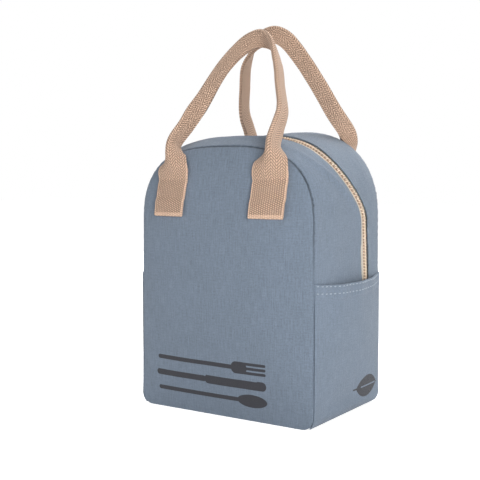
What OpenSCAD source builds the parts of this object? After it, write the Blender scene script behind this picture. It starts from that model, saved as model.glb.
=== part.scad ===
// Soft zip lunch bag: canvas shell with an arched top, webbing handles,
// a zipper over the top from one side pocket to the other, and a sewn lining.
// Origin at the middle of the base, +X to the right, +Y to the back, +Z up.

/* [Bag] */
// Width between the left and right seams
body_w = 203; // [180:1:240]
// Depth between the front and back seams
body_d = 140; // [120:1:160]
// Height of the front seam
body_h = 266; // [255:1:290]
// Height where the rounded top begins
arch_start = 187; // [182:1:195]
// Squareness of the rounded top, 2 is an ellipse
arch_power = 2.8; // [2.2:0.1:3.2]
// Radius of the bottom corners
base_r = 12; // [8:1:18]
// Swell of the front and back panels
panel_swell = 9; // [5:0.5:12]
// Swell of the sides
side_swell = 4; // [2:0.5:6]
// Swell of the top
crown_swell = 3; // [2:0.5:8]
// Rise of the back seam above the front seam, in the middle
back_rise = 20; // [0:1:24]
// How late the rise sets in with height, so that the back's shoulders stay low
rise_power = 4; // [1:0.5:5]
// Thickness of the canvas
canvas_t = 1.2; // [0.8:0.1:1.6]

/* [Lining] */
// Thickness of the lining
lining_t = 0.8; // [0.5:0.1:1.2]
// Air between the lining and what it covers
lining_gap = 0.3; // [0.2:0.1:0.5]
// Width of the binding on the inner seams
binding_w = 7; // [5:0.5:9]
// Thickness of the binding
binding_t = 1.4; // [1:0.1:2]
// Width of the inner pocket
inner_pocket_w = 140; // [100:1:160]
// Height of the inner pocket's top edge
inner_pocket_top = 165; // [140:1:180]
// Height of the inner pocket's bottom edge
inner_pocket_low = 70; // [40:1:90]
// How far the inner pocket stands open
inner_pocket_gape = 6.5; // [6:0.5:9]

/* [Side pockets] */
// Height of the side pockets' top edge
pocket_h = 137; // [110:1:145]
// Height of the side pockets' bottom edge
pocket_low = 14; // [12:1:30]
// How far the top edge stands open
pocket_gape = 6.5; // [6:0.5:9]
// How far the top edge sags in the middle
pocket_sag = 3; // [0:0.5:5]
// Width of the turned hem
hem_w = 12; // [8:1:16]
// From the top edge to the upper row of stitches, and from the hem's fold to the lower row
hem_stitch_in = 3; // [2:0.5:4]
// Length of one stitch
stitch_l = 2.4; // [1.5:0.1:3]
// Thickness of the thread
thread_t = 0.5; // [0.3:0.1:0.8]
// Distance from stitch to stitch
stitch_pitch = 3.8; // [3.2:0.1:6]

/* [Zipper] */
// Depth position of the zipper at the pocket's top edge
zip_low_y = 32; // [20:1:38]
// Depth position of the zipper over the top
zip_top_y = -20; // [-26:1:10]
// Lean of the zipper's straight run, depth per height
zip_lean = 0.08; // [0:0.01:0.1]
// Width of one zipper tape
tape_w = 15; // [12:0.5:18]
// Thickness of the tape
tape_t = 0.6; // [0.4:0.1:0.8]
// Width of one coil
coil_w = 2.2; // [1.8:0.1:2.6]
// Height of the coil above the tape
coil_h = 2.2; // [1.8:0.1:2.6]
// Half of the slit between the two coils
coil_slit = 0.75; // [0.7:0.05:0.9]
// From the slit's middle to the front canvas edge
reveal_front = 6.5; // [5.5:0.1:7.5]
// From the slit's middle to the back canvas edge
reveal_back = 5.2; // [5:0.1:7]
// Width of the slider
slider_w = 9; // [8:0.2:9.4]
// Length of the slider
slider_l = 12; // [10:0.5:14]
// Thickness of the slider's two plates
plate_t = 1.2; // [1:0.1:1.5]
// From the pocket's top edge up to the slider's middle when the zipper is closed
slider_above = 13; // [10:1:19]
// Length of the pull from its pivot
pull_l = 22; // [18:1:26]
// Width of the pull
pull_w = 7; // [6:0.2:8]
// Thickness of the pull
pull_t = 1.2; // [1:0.1:1.4]
// Tilt of the pull where it lies over the pocket's edge
pull_tilt = 17; // [17:1:30]

/* [Handles] */
// Width of the webbing
webbing_w = 38; // [32:1:42]
// Thickness of the webbing
webbing_t = 2.2; // [1.6:0.1:2.6]
// From the middle of the bag to the middle of a tab
tab_x = 58; // [52:1:62]
// From the top of the front seam down to the line where a handle leaves its tab
tab_drop = 33; // [30:1:36]
// Height of a tab
tab_h = 35; // [29:1:37]
// Half of the folded grip's width
grip_half_w = 8.5; // [7:0.5:10]
// Half of the folded grip's thickness
grip_half_t = 3.6; // [3:0.1:4.5]
// Half of the width where the webbing gathers
neck_half_w = 7.5; // [6:0.5:9]
// Half of the thickness where the webbing gathers
neck_half_t = 5; // [4:0.2:6]

/* [Hidden] */

canvas_color = [0.47, 0.52, 0.58];
lining_color = [0.80, 0.79, 0.75];
webbing_color = [0.69, 0.58, 0.50];
tape_color = [0.86, 0.80, 0.72];
coil_color = [0.84, 0.66, 0.54];
metal_color = [0.66, 0.64, 0.60];
thread_color = [0.72, 0.75, 0.79];

half_w = body_w / 2;
half_d = body_d / 2;
// Clearance between pieces that move apart, and between stacked layers
part_gap = 0.3;
layer_gap = 0.2;
// Steps of the arch, and of the bottom corners, in degrees
arch_step = 9;
corner_step = 30;
// Columns of facets across the panels and across the sides, and rows up the sides
panel_cols = 10;
side_cols = 8;
side_rows = 8;
seam_y = half_d - canvas_t;
tape_depth = canvas_t + layer_gap;
lining_depth = tape_depth + tape_t + lining_gap;
lining_in = lining_depth + lining_t;
lining_y = seam_y - layer_gap;
binding_y = lining_y - lining_t - layer_gap;
zip_bend_z = arch_start + 5;
zip_over_z = body_h - 12;
slit_reveal = reveal_front + 2;
slider_z = pocket_h + slider_above;
tab_top = body_h - tab_drop;
tab_low = tab_top - tab_h;
// Extra swell where the sides turn into the top, and the share of the side's height where its swell is full
corner_swell = 7;
side_swell_share = 0.5;

function mix(a, b, t) = a + (b - a) * t;
function clamp01(t) = min(1, max(0, t));
function smooth(t) = clamp01(t) * clamp01(t) * (3 - 2 * clamp01(t));

// ---- outline of the seams: [x, z, normal x, normal z] -------------------

function arch_at(t) =
  let (
    c = cos(t),
    s = sin(t),
    rise_h = body_h - arch_start,
    px = abs(c) < 1e-6 ? 0 : sign(c) * pow(abs(c), 2 / arch_power),
    pz = s < 1e-6 ? 0 : pow(s, 2 / arch_power),
    nx = sign(px) * pow(abs(px), arch_power - 1) / half_w,
    nz = pow(pz, arch_power - 1) / rise_h,
    n = norm([nx, nz])
  )
  [half_w * px, arch_start + rise_h * pz, nx / n, nz / n];

function corner_at(t) = [
  half_w - base_r + base_r * cos(t), base_r + base_r * sin(t), cos(t), sin(t)
];

function mirrored(list) = [
  for (i = [len(list) - 1:-1:0]) [-list[i][0], list[i][1], -list[i][2], list[i][3]]
];

// Right half of the upper and of the lower outline, going up
upper_right = concat(
  [for (z = [pocket_h + part_gap / 2, (pocket_h + arch_start) / 2]) [half_w, z, 1, 0]],
  [for (t = [0:arch_step:90 - arch_step]) arch_at(t)]
);
lower_right = concat(
  [for (t = [-90:corner_step:0]) corner_at(t)],
  [for (k = [1:side_rows]) [half_w, mix(base_r, pocket_h - part_gap / 2, k / side_rows), 1, 0]]
);
upper_outline = concat(upper_right, [arch_at(90)], mirrored(upper_right));
lower_outline = concat(mirrored(lower_right), lower_right);
whole_right = concat(lower_right, upper_right);
whole_outline = concat(whole_right, [arch_at(90)], mirrored(whole_right));

// ---- swollen surfaces ---------------------------------------------------

// How far the fabric stands out of the seam's outline at an outline station
function swell_at(st) =
  st[3] < 0 ? 0
  : side_swell * smooth((st[1] - base_r) / (side_swell_share * pocket_h))
    + (crown_swell - side_swell) * st[3] * st[3] + corner_swell * abs(st[2] * st[3]);
function across(y) = 1 - pow(abs(y / half_d), 3);
function lift(z, y) =
  back_rise * (y / body_d + 0.5) * pow(max(0, z - pocket_h) / (body_h - pocket_h), rise_power);

// Point on the gusset, a depth below the canvas's outer surface
function gusset_point(st, y, depth) =
  let (out = swell_at(st) * across(y) - depth)
  [st[0] + st[2] * out, y, st[1] + st[3] * out + lift(st[1], y)];

function pillow(u, z) =
  panel_swell * (1 - pow(abs(u), 3)) * (1 - pow(abs(2 * z / body_h - 1), 4));

// Point on the front (side -1) or back (side 1) panel at u from -1 to 1
function panel_point(half, z, u, side, depth) = [
  half * u, side * (half_d + pillow(u, z) - depth), z + lift(z, side * half_d)
];

// Depth position of the zipper's slit at a height on the outline
function zip_straight(z) = zip_low_y - zip_lean * (z - pocket_h);
function zip_y(z) =
  mix(zip_straight(z), zip_top_y, smooth((z - zip_bend_z) / (zip_over_z - zip_bend_z)));

// ---- builders -----------------------------------------------------------

// Solid between two grids of points, each a list of rows
module shell(outer, inner) {
  m = len(outer);
  n = len(outer[0]);
  far = m * n;
  points = concat([for (r = outer, p = r) p], [for (r = inner, p = r) p]);
  top = [for (i = [0:m - 2], j = [0:n - 2]) each [
    [i * n + j, i * n + j + 1, (i + 1) * n + j + 1],
    [i * n + j, (i + 1) * n + j + 1, (i + 1) * n + j]
  ]];
  bottom = [for (f = top) [far + f[0], far + f[2], far + f[1]]];
  ends = [for (j = [0:n - 2]) each [
    [j, far + j, j + 1],
    [j + 1, far + j, far + j + 1],
    [(m - 1) * n + j, (m - 1) * n + j + 1, far + (m - 1) * n + j],
    [(m - 1) * n + j + 1, far + (m - 1) * n + j + 1, far + (m - 1) * n + j]
  ]];
  edges = [for (i = [0:m - 2]) each [
    [i * n, (i + 1) * n, far + i * n],
    [(i + 1) * n, far + (i + 1) * n, far + i * n],
    [i * n + n - 1, far + i * n + n - 1, (i + 1) * n + n - 1],
    [(i + 1) * n + n - 1, far + i * n + n - 1, far + (i + 1) * n + n - 1]
  ]];
  polyhedron(points, concat(top, bottom, ends, edges), convexity = 6);
}

// Strip of the gusset between two depth positions given per station
module gusset_strip(outline, from_y, to_y, cols, out_depth, in_depth) {
  shell(
    [for (i = [0:len(outline) - 1]) [for (j = [0:cols])
      gusset_point(outline[i], mix(from_y[i], to_y[i], j / cols), out_depth)]],
    [for (i = [0:len(outline) - 1]) [for (j = [0:cols])
      gusset_point(outline[i], mix(from_y[i], to_y[i], j / cols), in_depth)]]
  );
}

function constant(outline, y) = [for (st = outline) y];
function along_zip(outline, shift) = [for (st = outline) zip_y(st[1]) + shift];

module panel(rows, side) {
  us = [for (j = [0:panel_cols]) side * (1 - 2 * j / panel_cols)];
  shell(
    [for (r = rows) [for (u = us) panel_point(r[0], r[1], u, side, 0)]],
    [for (r = rows) [for (u = us) panel_point(r[0], r[1], u, side, canvas_t)]]
  );
}

// Outline in x and z, moved inwards by a depth and lifted as at depth position y
function inset(outline, depth, y) = [
  for (st = outline) [st[0] - st[2] * depth, st[1] - st[3] * depth + lift(st[1], y)]
];
function reversed(list) = [for (i = [len(list) - 1:-1:0]) list[i]];

// Flat layer behind a panel: an outline in x and z, from y_low upwards in y
module flat_layer(points, y_low, thick) {
  translate([0, y_low + thick, 0])
    rotate([90, 0, 0])
      linear_extrude(thick)
        polygon(points);
}

// ---- canvas -------------------------------------------------------------

module front_panel_lower() {
  color(canvas_color) panel(lower_right, -1);
}

module front_panel_upper() {
  color(canvas_color) panel(upper_right, -1);
}

module back_panel() {
  color(canvas_color) panel(whole_right, 1);
}

module base_gusset() {
  color(canvas_color)
    gusset_strip(lower_outline, constant(lower_outline, seam_y),
      constant(lower_outline, -seam_y), side_cols, 0, canvas_t);
}

module zip_gusset_front() {
  color(canvas_color)
    gusset_strip(upper_outline, constant(upper_outline, -seam_y),
      along_zip(upper_outline, -reveal_front), 5, 0, canvas_t);
}

module zip_gusset_back() {
  color(canvas_color)
    gusset_strip(upper_outline, along_zip(upper_outline, reveal_back),
      constant(upper_outline, seam_y), 4, 0, canvas_t);
}

// ---- side pockets -------------------------------------------------------

// How far the pocket's inner face stands off the side, at depth position y and share t of its height
function pocket_off(y, t) =
  part_gap + pocket_gape * pow(1 - pow(y / half_d, 2), 2) * smooth((t - 0.25) / 0.75);
function pocket_z(y, t) =
  mix(pocket_low, pocket_h - part_gap / 2, t) - pocket_sag * t * t * across(y);
function pocket_x(y, t) =
  half_w + swell_at([half_w, mix(pocket_low, pocket_h, t), 1, 0]) * across(y) + pocket_off(y, t);

module pocket(side) {
  hem_at = 1 - hem_w / (pocket_h - pocket_low);
  ts = [for (k = [0:side_rows]) if (abs(k / side_rows - hem_at) > 0.04) k / side_rows];
  ys = [for (j = [0:12]) side * seam_y * (j / 6 - 1)];
  shell(
    [for (t = ts) [for (y = ys) [side * (pocket_x(y, t) + canvas_t), y, pocket_z(y, t)]]],
    [for (t = ts) [for (y = ys) [side * pocket_x(y, t), y, pocket_z(y, t)]]]
  );
}

module pocket_left() {
  color(canvas_color) pocket(-1);
}

module pocket_right() {
  color(canvas_color) pocket(1);
}

// Two rows of stitches below the pocket's top edge
module pocket_thread(side) {
  rows = [hem_stitch_in, hem_w - hem_stitch_in];
  last = floor((seam_y - 2 * hem_stitch_in) / stitch_pitch);
  for (drop = rows, k = [-last:last]) {
    y = k * stitch_pitch;
    t = 1 - drop / (pocket_h - pocket_low);
    slope = pocket_x(y + 1, t) - pocket_x(y - 1, t);
    out = pocket_x(y, t) + canvas_t + part_gap + thread_t / 2;
    translate([side * out, y, pocket_z(y, t)])
      rotate([0, 0, -side * atan(slope / 2)])
        cube([thread_t, stitch_l, thread_t], center = true);
  }
}

module pocket_thread_left() {
  color(thread_color) pocket_thread(-1);
}

module pocket_thread_right() {
  color(thread_color) pocket_thread(1);
}

// ---- zipper -------------------------------------------------------------

module zip_tape_front() {
  color(tape_color)
    gusset_strip(upper_outline, along_zip(upper_outline, -coil_slit - tape_w),
      along_zip(upper_outline, -coil_slit), 2, tape_depth, tape_depth + tape_t);
}

module zip_tape_back() {
  color(tape_color)
    gusset_strip(upper_outline, along_zip(upper_outline, coil_slit),
      along_zip(upper_outline, coil_slit + tape_w), 2, tape_depth, tape_depth + tape_t);
}

module zip_coil_front() {
  color(coil_color)
    gusset_strip(upper_outline, along_zip(upper_outline, -coil_slit - coil_w),
      along_zip(upper_outline, -coil_slit), 1, tape_depth - coil_h, tape_depth - 0.01);
}

module zip_coil_back() {
  color(coil_color)
    gusset_strip(upper_outline, along_zip(upper_outline, coil_slit),
      along_zip(upper_outline, coil_slit + coil_w), 1, tape_depth - coil_h, tape_depth - 0.01);
}

// Heights above the canvas surface of the slider's layers, outwards
outer_plate_low = coil_h - tape_depth + part_gap;
inner_plate_top = -tape_depth - tape_t - part_gap;
post_gap = 0.4;
bridge_wall = 1.1;
bridge_w = 2.6;
bridge_hole_h = pull_t + 0.6;
bridge_hole_l = 4.6;
pivot_out = outer_plate_low + plate_t + bridge_hole_h / 2;
window_w = bridge_w + 0.8;
window_l = bridge_hole_l / 2 + bridge_wall + 2 * part_gap;

// Places its children on the left straight run: X outwards, Y across, Z along the zipper
module on_slider() {
  y = zip_straight(slider_z);
  out = half_w + side_swell * across(y);
  translate([-out, y, slider_z])
    rotate([atan(zip_lean), 0, 0])
      rotate([0, 0, 180])
        children();
}

module plate() {
  rotate([90, 0, 90])
    linear_extrude(plate_t)
      polygon([
        [-slider_w / 2, -slider_l / 2 + 2], [-slider_w / 2 + 2, -slider_l / 2],
        [slider_w / 2 - 2, -slider_l / 2], [slider_w / 2, -slider_l / 2 + 2],
        [slider_w / 2 - 1, slider_l / 2 - 1], [slider_w / 2 - 2, slider_l / 2],
        [-slider_w / 2 + 2, slider_l / 2], [-slider_w / 2 + 1, slider_l / 2 - 1]
      ]);
}

module zip_slider() {
  post_w = 2 * coil_slit - 2 * post_gap;
  post_l = 3;
  bridge_l = bridge_hole_l + 2 * bridge_wall;
  color(metal_color)
    on_slider() {
      translate([outer_plate_low, 0, 0])
        plate();
      translate([inner_plate_top - plate_t, 0, 0])
        plate();
      translate([inner_plate_top - 0.1, -post_w / 2, -slider_l / 2 + 0.5])
        cube([outer_plate_low - inner_plate_top + 0.2, post_w, post_l]);
      difference() {
        translate([outer_plate_low + plate_t - 0.1, -bridge_w / 2, -bridge_l / 2])
          cube([bridge_hole_h + bridge_wall + 0.1, bridge_w, bridge_l]);
        translate([outer_plate_low + plate_t, -bridge_w, -bridge_hole_l / 2])
          cube([bridge_hole_h, 2 * bridge_w, bridge_hole_l]);
      }
    }
}

module zip_pull() {
  bar_r = pull_t / 2;
  side_w = (pull_w - window_w) / 2;
  color(metal_color)
    on_slider()
      translate([pivot_out, 0, 0])
        rotate([0, -pull_tilt, 0]) {
          rotate([90, 0, 0])
            cylinder(h = pull_w, r = bar_r, center = true, $fn = 32);
          for (s = [-1, 1])
            translate([-pull_t / 2, s * (window_w + side_w) / 2 - side_w / 2, -window_l - bar_r])
              cube([pull_t, side_w, window_l + bar_r]);
          translate([-pull_t / 2, -pull_w / 2, -pull_l])
            cube([pull_t, pull_w, pull_l - window_l]);
        }
}

// ---- handles ------------------------------------------------------------

// Half width of the outline at a height
function half_at(z) =
  z <= arch_start ? half_w
  : half_w * pow(1 - pow((z - arch_start) / (body_h - arch_start), arch_power), 1 / arch_power);

// Front and back tabs follow the panel and lean a little with height
tab_slant = 0.05;
function tab_point(x, z, side, depth) =
  panel_point(half_at(z), z, x / half_at(z), side, depth);
module tabs(side) {
  zs = [for (k = [0:3]) mix(tab_low, tab_top, k / 3)];
  for (centre = [-tab_x, tab_x]) {
    xs = [for (k = [0:4]) side * webbing_w * (0.5 - k / 4)];
    shell(
      [for (z = zs) [for (x = xs)
        tab_point(centre + x + tab_slant * (z - tab_top), z, side, -part_gap - webbing_t)]],
      [for (z = zs) [for (x = xs)
        tab_point(centre + x + tab_slant * (z - tab_top), z, side, -part_gap)]]
    );
  }
}

module handle_tabs_front() {
  color(webbing_color) tabs(-1);
}

module handle_tabs_back() {
  color(webbing_color) tabs(1);
}

// Stitches around each tab, 3 mm inside its edge
module tab_thread(side) {
  edge = 3;
  x_reach = webbing_w / 2 - edge;
  z_low = tab_low + edge;
  z_high = tab_top - edge;
  across_n = floor(x_reach / stitch_pitch);
  up_n = floor((z_high - z_low) / stitch_pitch);
  for (centre = [-tab_x, tab_x]) {
    for (z = [z_low, z_high], k = [-across_n:across_n])
      tab_stitch(centre + k * stitch_pitch, z, side, true);
    for (s = [-1, 1], k = [1:up_n - 1])
      tab_stitch(centre + s * x_reach, z_low + k * stitch_pitch, side, false);
  }
}

module tab_stitch(x, z, side, level) {
  at_x = x + tab_slant * (z - tab_top);
  depth = -2 * part_gap - webbing_t - thread_t / 2;
  p = tab_point(at_x, z, side, depth);
  q = tab_point(at_x + 1, z, side, depth);
  translate(p)
    rotate([0, 0, atan(q[1] - p[1])])
      cube([level ? stitch_l : thread_t, thread_t, level ? thread_t : stitch_l], center = true);
}

module handle_thread_front() {
  color(thread_color) tab_thread(-1);
}

module handle_thread_back() {
  color(thread_color) tab_thread(1);
}

// Middle of the webbing at the stitch line
tab_y = half_d + pillow(tab_x / half_at(tab_top), tab_top) + part_gap + webbing_t / 2;

// Stations along a handle from the left tab to the right one: share of the tab's distance from
// the middle, distance in from the tab's face, rise above the stitch line, half width,
// half thickness, twist
front_shape = [
  [-1, -1.1, 0, webbing_w / 2, webbing_t / 2, 0],
  [-1, -1.9, 8, webbing_w / 2 - 1, webbing_t / 2 + 0.3, 0],
  [-1.035, -1.4, 19, 13, 2.8, 0],
  [-1.045, 5, 36.5, neck_half_w, neck_half_t, 0],
  [-1, 24, 56, grip_half_w, grip_half_t, 0],
  [-0.81, 39, 82, grip_half_w, grip_half_t, 0],
  [-0.59, 55, 114, grip_half_w, grip_half_t, 0],
  [-0.29, 67, 138, grip_half_w, grip_half_t, 0],
  [0.03, 71, 146, grip_half_w, grip_half_t, -10],
  [0.31, 67, 139, grip_half_w, grip_half_t, -45],
  [0.53, 57, 118, grip_half_w, grip_half_t, -72],
  [0.71, 45, 93, grip_half_w, grip_half_t, -72],
  [0.88, 33, 69, grip_half_w, grip_half_t, -55],
  [0.95, 17.5, 50, neck_half_w, neck_half_t, -25],
  [1, 3.2, 34, neck_half_w, neck_half_t, 0],
  [1.02, -1.6, 19, 13, 2.8, 0],
  [1, -1.9, 8, webbing_w / 2 - 1, webbing_t / 2 + 0.3, 0],
  [1, -1.1, 0, webbing_w / 2, webbing_t / 2, 0]
];
back_shape = [
  [-1, -1.1, 0, webbing_w / 2, webbing_t / 2, 0],
  [-1, -1.9, 8, webbing_w / 2 - 1, webbing_t / 2 + 0.3, 0],
  [-1.035, -3.2, 20, 13, 2.8, 0],
  [-1.05, -3.6, 35.5, neck_half_w, neck_half_t, 20],
  [-1.05, 5, 50.5, neck_half_w, neck_half_t, 45],
  [-1.02, 17.5, 68.5, grip_half_w, grip_half_t, 73],
  [-0.93, 25, 93.5, grip_half_w, grip_half_t, 73],
  [-0.81, 32, 118.5, grip_half_w, grip_half_t, 60],
  [-0.53, 38, 141.5, grip_half_w, grip_half_t, 30],
  [-0.17, 41, 150.5, grip_half_w, grip_half_t, 0],
  [0.1, 39, 145.5, grip_half_w, grip_half_t, 0],
  [0.34, 34, 126.5, grip_half_w, grip_half_t, 0],
  [0.66, 26, 95.5, grip_half_w, grip_half_t, 0],
  [0.9, 16, 65.5, grip_half_w, grip_half_t, 0],
  [1.05, -1.4, 40.5, neck_half_w + 1, neck_half_t, 0],
  [1.05, -3.6, 22, 12, 3.2, 0],
  [1, -1.9, 8, webbing_w / 2 - 1, webbing_t / 2 + 0.3, 0],
  [1, -1.1, 0, webbing_w / 2, webbing_t / 2, 0]
];
back_z = tab_top + part_gap + lift(tab_top, half_d);
handle_front_path = [for (p = front_shape)
  [p[0] * tab_x, -tab_y + p[1], tab_top + part_gap + p[2], p[3], p[4], p[5]]];
handle_back_path = [for (p = back_shape)
  [p[0] * tab_x, tab_y - p[1], back_z + p[2], p[3], p[4], p[5]]];

// Curve through a list of stations, evaluated at a real-valued index
function through(path, s) =
  let (
    last = len(path) - 1,
    i = min(last - 1, floor(s)),
    t = s - i,
    p0 = path[max(0, i - 1)],
    p1 = path[i],
    p2 = path[i + 1],
    p3 = path[min(last, i + 2)]
  )
  0.5 * (2 * p1 + t * (p2 - p0) + t * t * (2 * p0 - 5 * p1 + 4 * p2 - p3)
    + t * t * t * (3 * p1 - p0 - 3 * p2 + p3));
function xyz(p) = [p[0], p[1], p[2]];
function unit(v) = v / norm(v);

// Eight-sided ring round a handle's path at index s
function handle_ring(path, s) =
  let (
    last = len(path) - 1,
    p = through(path, s),
    ahead = xyz(through(path, min(last, s + 0.05))),
    behind = xyz(through(path, max(0, s - 0.05))),
    along = s <= 0 ? [0, 0, 1] : s >= last ? [0, 0, -1] : unit(ahead - behind),
    depth = unit([0, 1, 0] - along[1] * along),
    outward = cross(along, depth),
    wide = cos(p[5]) * outward + sin(p[5]) * depth,
    thick = cos(p[5]) * depth - sin(p[5]) * outward,
    w = p[3],
    h = p[4],
    cut = min(0.5 * h, 1.5)
  )
  [for (c = [
    [w, h - cut], [w - cut, h], [cut - w, h], [-w, h - cut],
    [-w, cut - h], [cut - w, -h], [w - cut, -h], [w, cut - h]
  ]) xyz(p) + c[0] * wide + c[1] * thick];

module handle(path) {
  per_span = 2;
  rings = (len(path) - 1) * per_span;
  sides = 8;
  points = [for (i = [0:rings]) each handle_ring(path, i / per_span)];
  walls = [for (i = [0:rings - 1], j = [0:sides - 1]) each [
    [i * sides + j, i * sides + (j + 1) % sides, (i + 1) * sides + j],
    [i * sides + (j + 1) % sides, (i + 1) * sides + (j + 1) % sides, (i + 1) * sides + j]
  ]];
  first = [for (j = [sides - 1:-1:0]) j];
  end = [for (j = [0:sides - 1]) rings * sides + j];
  polyhedron(points, concat(walls, [first], [end]), convexity = 10);
}

module handle_front() {
  color(webbing_color) handle(handle_front_path);
}

module handle_back() {
  color(webbing_color) handle(handle_back_path);
}

// ---- lining -------------------------------------------------------------

module lining_front_lower() {
  color(lining_color)
    flat_layer(inset(lower_outline, tape_depth, -half_d), -lining_y, lining_t);
}

module lining_front_upper() {
  color(lining_color)
    flat_layer(inset(upper_outline, tape_depth, -half_d), -lining_y, lining_t);
}

module lining_back() {
  color(lining_color)
    flat_layer(inset(whole_outline, tape_depth, half_d), lining_y - lining_t, lining_t);
}

lining_side_y = lining_y - lining_t - layer_gap / 2;

module lining_base() {
  color(lining_color)
    gusset_strip(lower_outline, constant(lower_outline, lining_side_y),
      constant(lower_outline, -lining_side_y), side_cols, lining_depth, lining_in);
}

module lining_gusset_front() {
  color(lining_color)
    gusset_strip(upper_outline, constant(upper_outline, -lining_side_y),
      along_zip(upper_outline, -slit_reveal), 5, lining_depth, lining_in);
}

module lining_gusset_back() {
  color(lining_color)
    gusset_strip(upper_outline, along_zip(upper_outline, slit_reveal),
      constant(upper_outline, lining_side_y), 4, lining_depth, lining_in);
}

// Pocket sewn to the back lining along its sides and bottom
module inner_pocket() {
  rows = 5;
  cols = 10;
  face = lining_y - lining_t - layer_gap;
  function off(u, t) = inner_pocket_gape * (1 - pow(abs(u), 4)) * smooth(t / 0.6);
  function at(i, j, back) =
    let (t = i / rows, u = 2 * j / cols - 1)
    [u * inner_pocket_w / 2, face - off(u, t) - (back ? 0 : lining_t),
      mix(inner_pocket_low, inner_pocket_top, t)];
  color(lining_color)
    shell(
      [for (i = [0:rows]) [for (j = [0:cols]) at(i, j, false)]],
      [for (i = [0:rows]) [for (j = [0:cols]) at(i, j, true)]]
    );
}

// Binding round the inner edge of a seam
module binding(outline, side) {
  near = lining_in + layer_gap;
  y = side * half_d;
  ring = concat(
    inset(outline, near, y),
    reversed(inset(outline, near + binding_w, y))
  );
  flat_layer(ring, side > 0 ? binding_y - binding_t : -binding_y, binding_t);
}

module binding_front_lower() {
  color(canvas_color) binding(lower_outline, -1);
}

module binding_front_upper() {
  color(canvas_color) binding(upper_outline, -1);
}

module binding_back() {
  color(canvas_color)
    union() {
      binding(lower_outline, 1);
      binding(upper_outline, 1);
    }
}

front_panel_lower();
front_panel_upper();
back_panel();
base_gusset();
zip_gusset_front();
zip_gusset_back();
pocket_left();
pocket_right();
pocket_thread_left();
pocket_thread_right();
zip_tape_front();
zip_tape_back();
zip_coil_front();
zip_coil_back();
zip_slider();
zip_pull();
handle_tabs_front();
handle_tabs_back();
handle_thread_front();
handle_thread_back();
handle_front();
handle_back();
lining_front_lower();
lining_front_upper();
lining_back();
lining_base();
lining_gusset_front();
lining_gusset_back();
inner_pocket();
binding_front_lower();
binding_front_upper();
binding_back();
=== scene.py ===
"""A soft canvas lunch bag with webbing handles and a zipper over its arched top."""

import math

import bpy
import numpy as np
from bpy.props import FloatProperty, FloatVectorProperty, PointerProperty
from mathutils import Matrix, Vector
from mathutils.bvhtree import BVHTree


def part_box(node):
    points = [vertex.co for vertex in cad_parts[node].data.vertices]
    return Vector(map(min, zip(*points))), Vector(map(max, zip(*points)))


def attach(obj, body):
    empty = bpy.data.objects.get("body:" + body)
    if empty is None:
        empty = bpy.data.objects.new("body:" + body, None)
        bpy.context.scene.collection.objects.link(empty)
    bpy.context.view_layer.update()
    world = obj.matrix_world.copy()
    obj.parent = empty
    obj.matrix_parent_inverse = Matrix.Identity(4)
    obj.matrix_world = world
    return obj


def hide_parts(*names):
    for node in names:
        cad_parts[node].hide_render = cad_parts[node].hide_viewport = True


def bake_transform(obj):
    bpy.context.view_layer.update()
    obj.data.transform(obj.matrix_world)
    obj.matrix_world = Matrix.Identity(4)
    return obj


bl_info = {
    "name": "Zip Lunch Bag",
    "version": (1, 0, 0),
    "blender": (4, 5, 0),
    "location": "View3D > Sidebar > Lunch Bag",
    "description": "Builds a canvas lunch bag with webbing handles over its solid frame",
    "category": "Add Mesh",
}

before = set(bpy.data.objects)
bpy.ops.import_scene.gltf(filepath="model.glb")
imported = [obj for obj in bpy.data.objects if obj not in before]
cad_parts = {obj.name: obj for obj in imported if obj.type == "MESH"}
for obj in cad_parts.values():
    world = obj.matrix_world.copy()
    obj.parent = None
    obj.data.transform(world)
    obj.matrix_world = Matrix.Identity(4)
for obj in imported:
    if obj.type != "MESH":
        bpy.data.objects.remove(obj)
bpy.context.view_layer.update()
MM = 0.001


def cad_size(node, axis):
    low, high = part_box(node)
    return high[axis] - low[axis]


def cad_high(node, axis):
    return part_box(node)[1][axis]


# ---------------------------------------------------------------- settings


def length(label, words, default):
    return FloatProperty(name=label, description=words, default=default, unit="LENGTH", precision=4)


def colour(label, words, default):
    return FloatVectorProperty(
        name=label, description=words, default=default, size=3, subtype="COLOR", min=0.0, max=1.0
    )


class BagSizes(bpy.types.PropertyGroup):
    """Sizes of the sewn body."""

    width: length("Seam width", "Width between the side seams", cad_size("front_panel_upper", 0))
    height: length("Front height", "Height of the front seam", cad_high("front_panel_upper", 2))
    canvas: length("Canvas thickness", "Thickness of the canvas", 1.2 * MM)
    depth: length("Depth", "Depth between the two seams", cad_size("base_gusset", 1) + 2.4 * MM)
    arch_start: length("Arch start", "Height where the rounded top begins", 187 * MM)
    base_radius: length("Base radius", "Radius of the bottom corners", 12 * MM)
    panel_swell: length("Panel swell", "Swell of the front and back panels", 9 * MM)
    side_swell: length("Side swell", "Swell of the sides", 4 * MM)
    crown_swell: length("Crown swell", "Swell of the top", 3 * MM)
    back_rise: length("Back rise", "Rise of the back seam above the front seam", 20 * MM)
    seam_depth: length("Seam depth", "Depth of the groove at the seams", 5 * MM)
    pocket_top: length("Pocket height", "Height of the side pockets' top edge", 137 * MM)
    hem: length("Hem", "Width of the turned hem on the pockets", 12 * MM)
    stitch: length("Stitch pitch", "Distance from stitch to stitch", 6 * MM)


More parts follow.
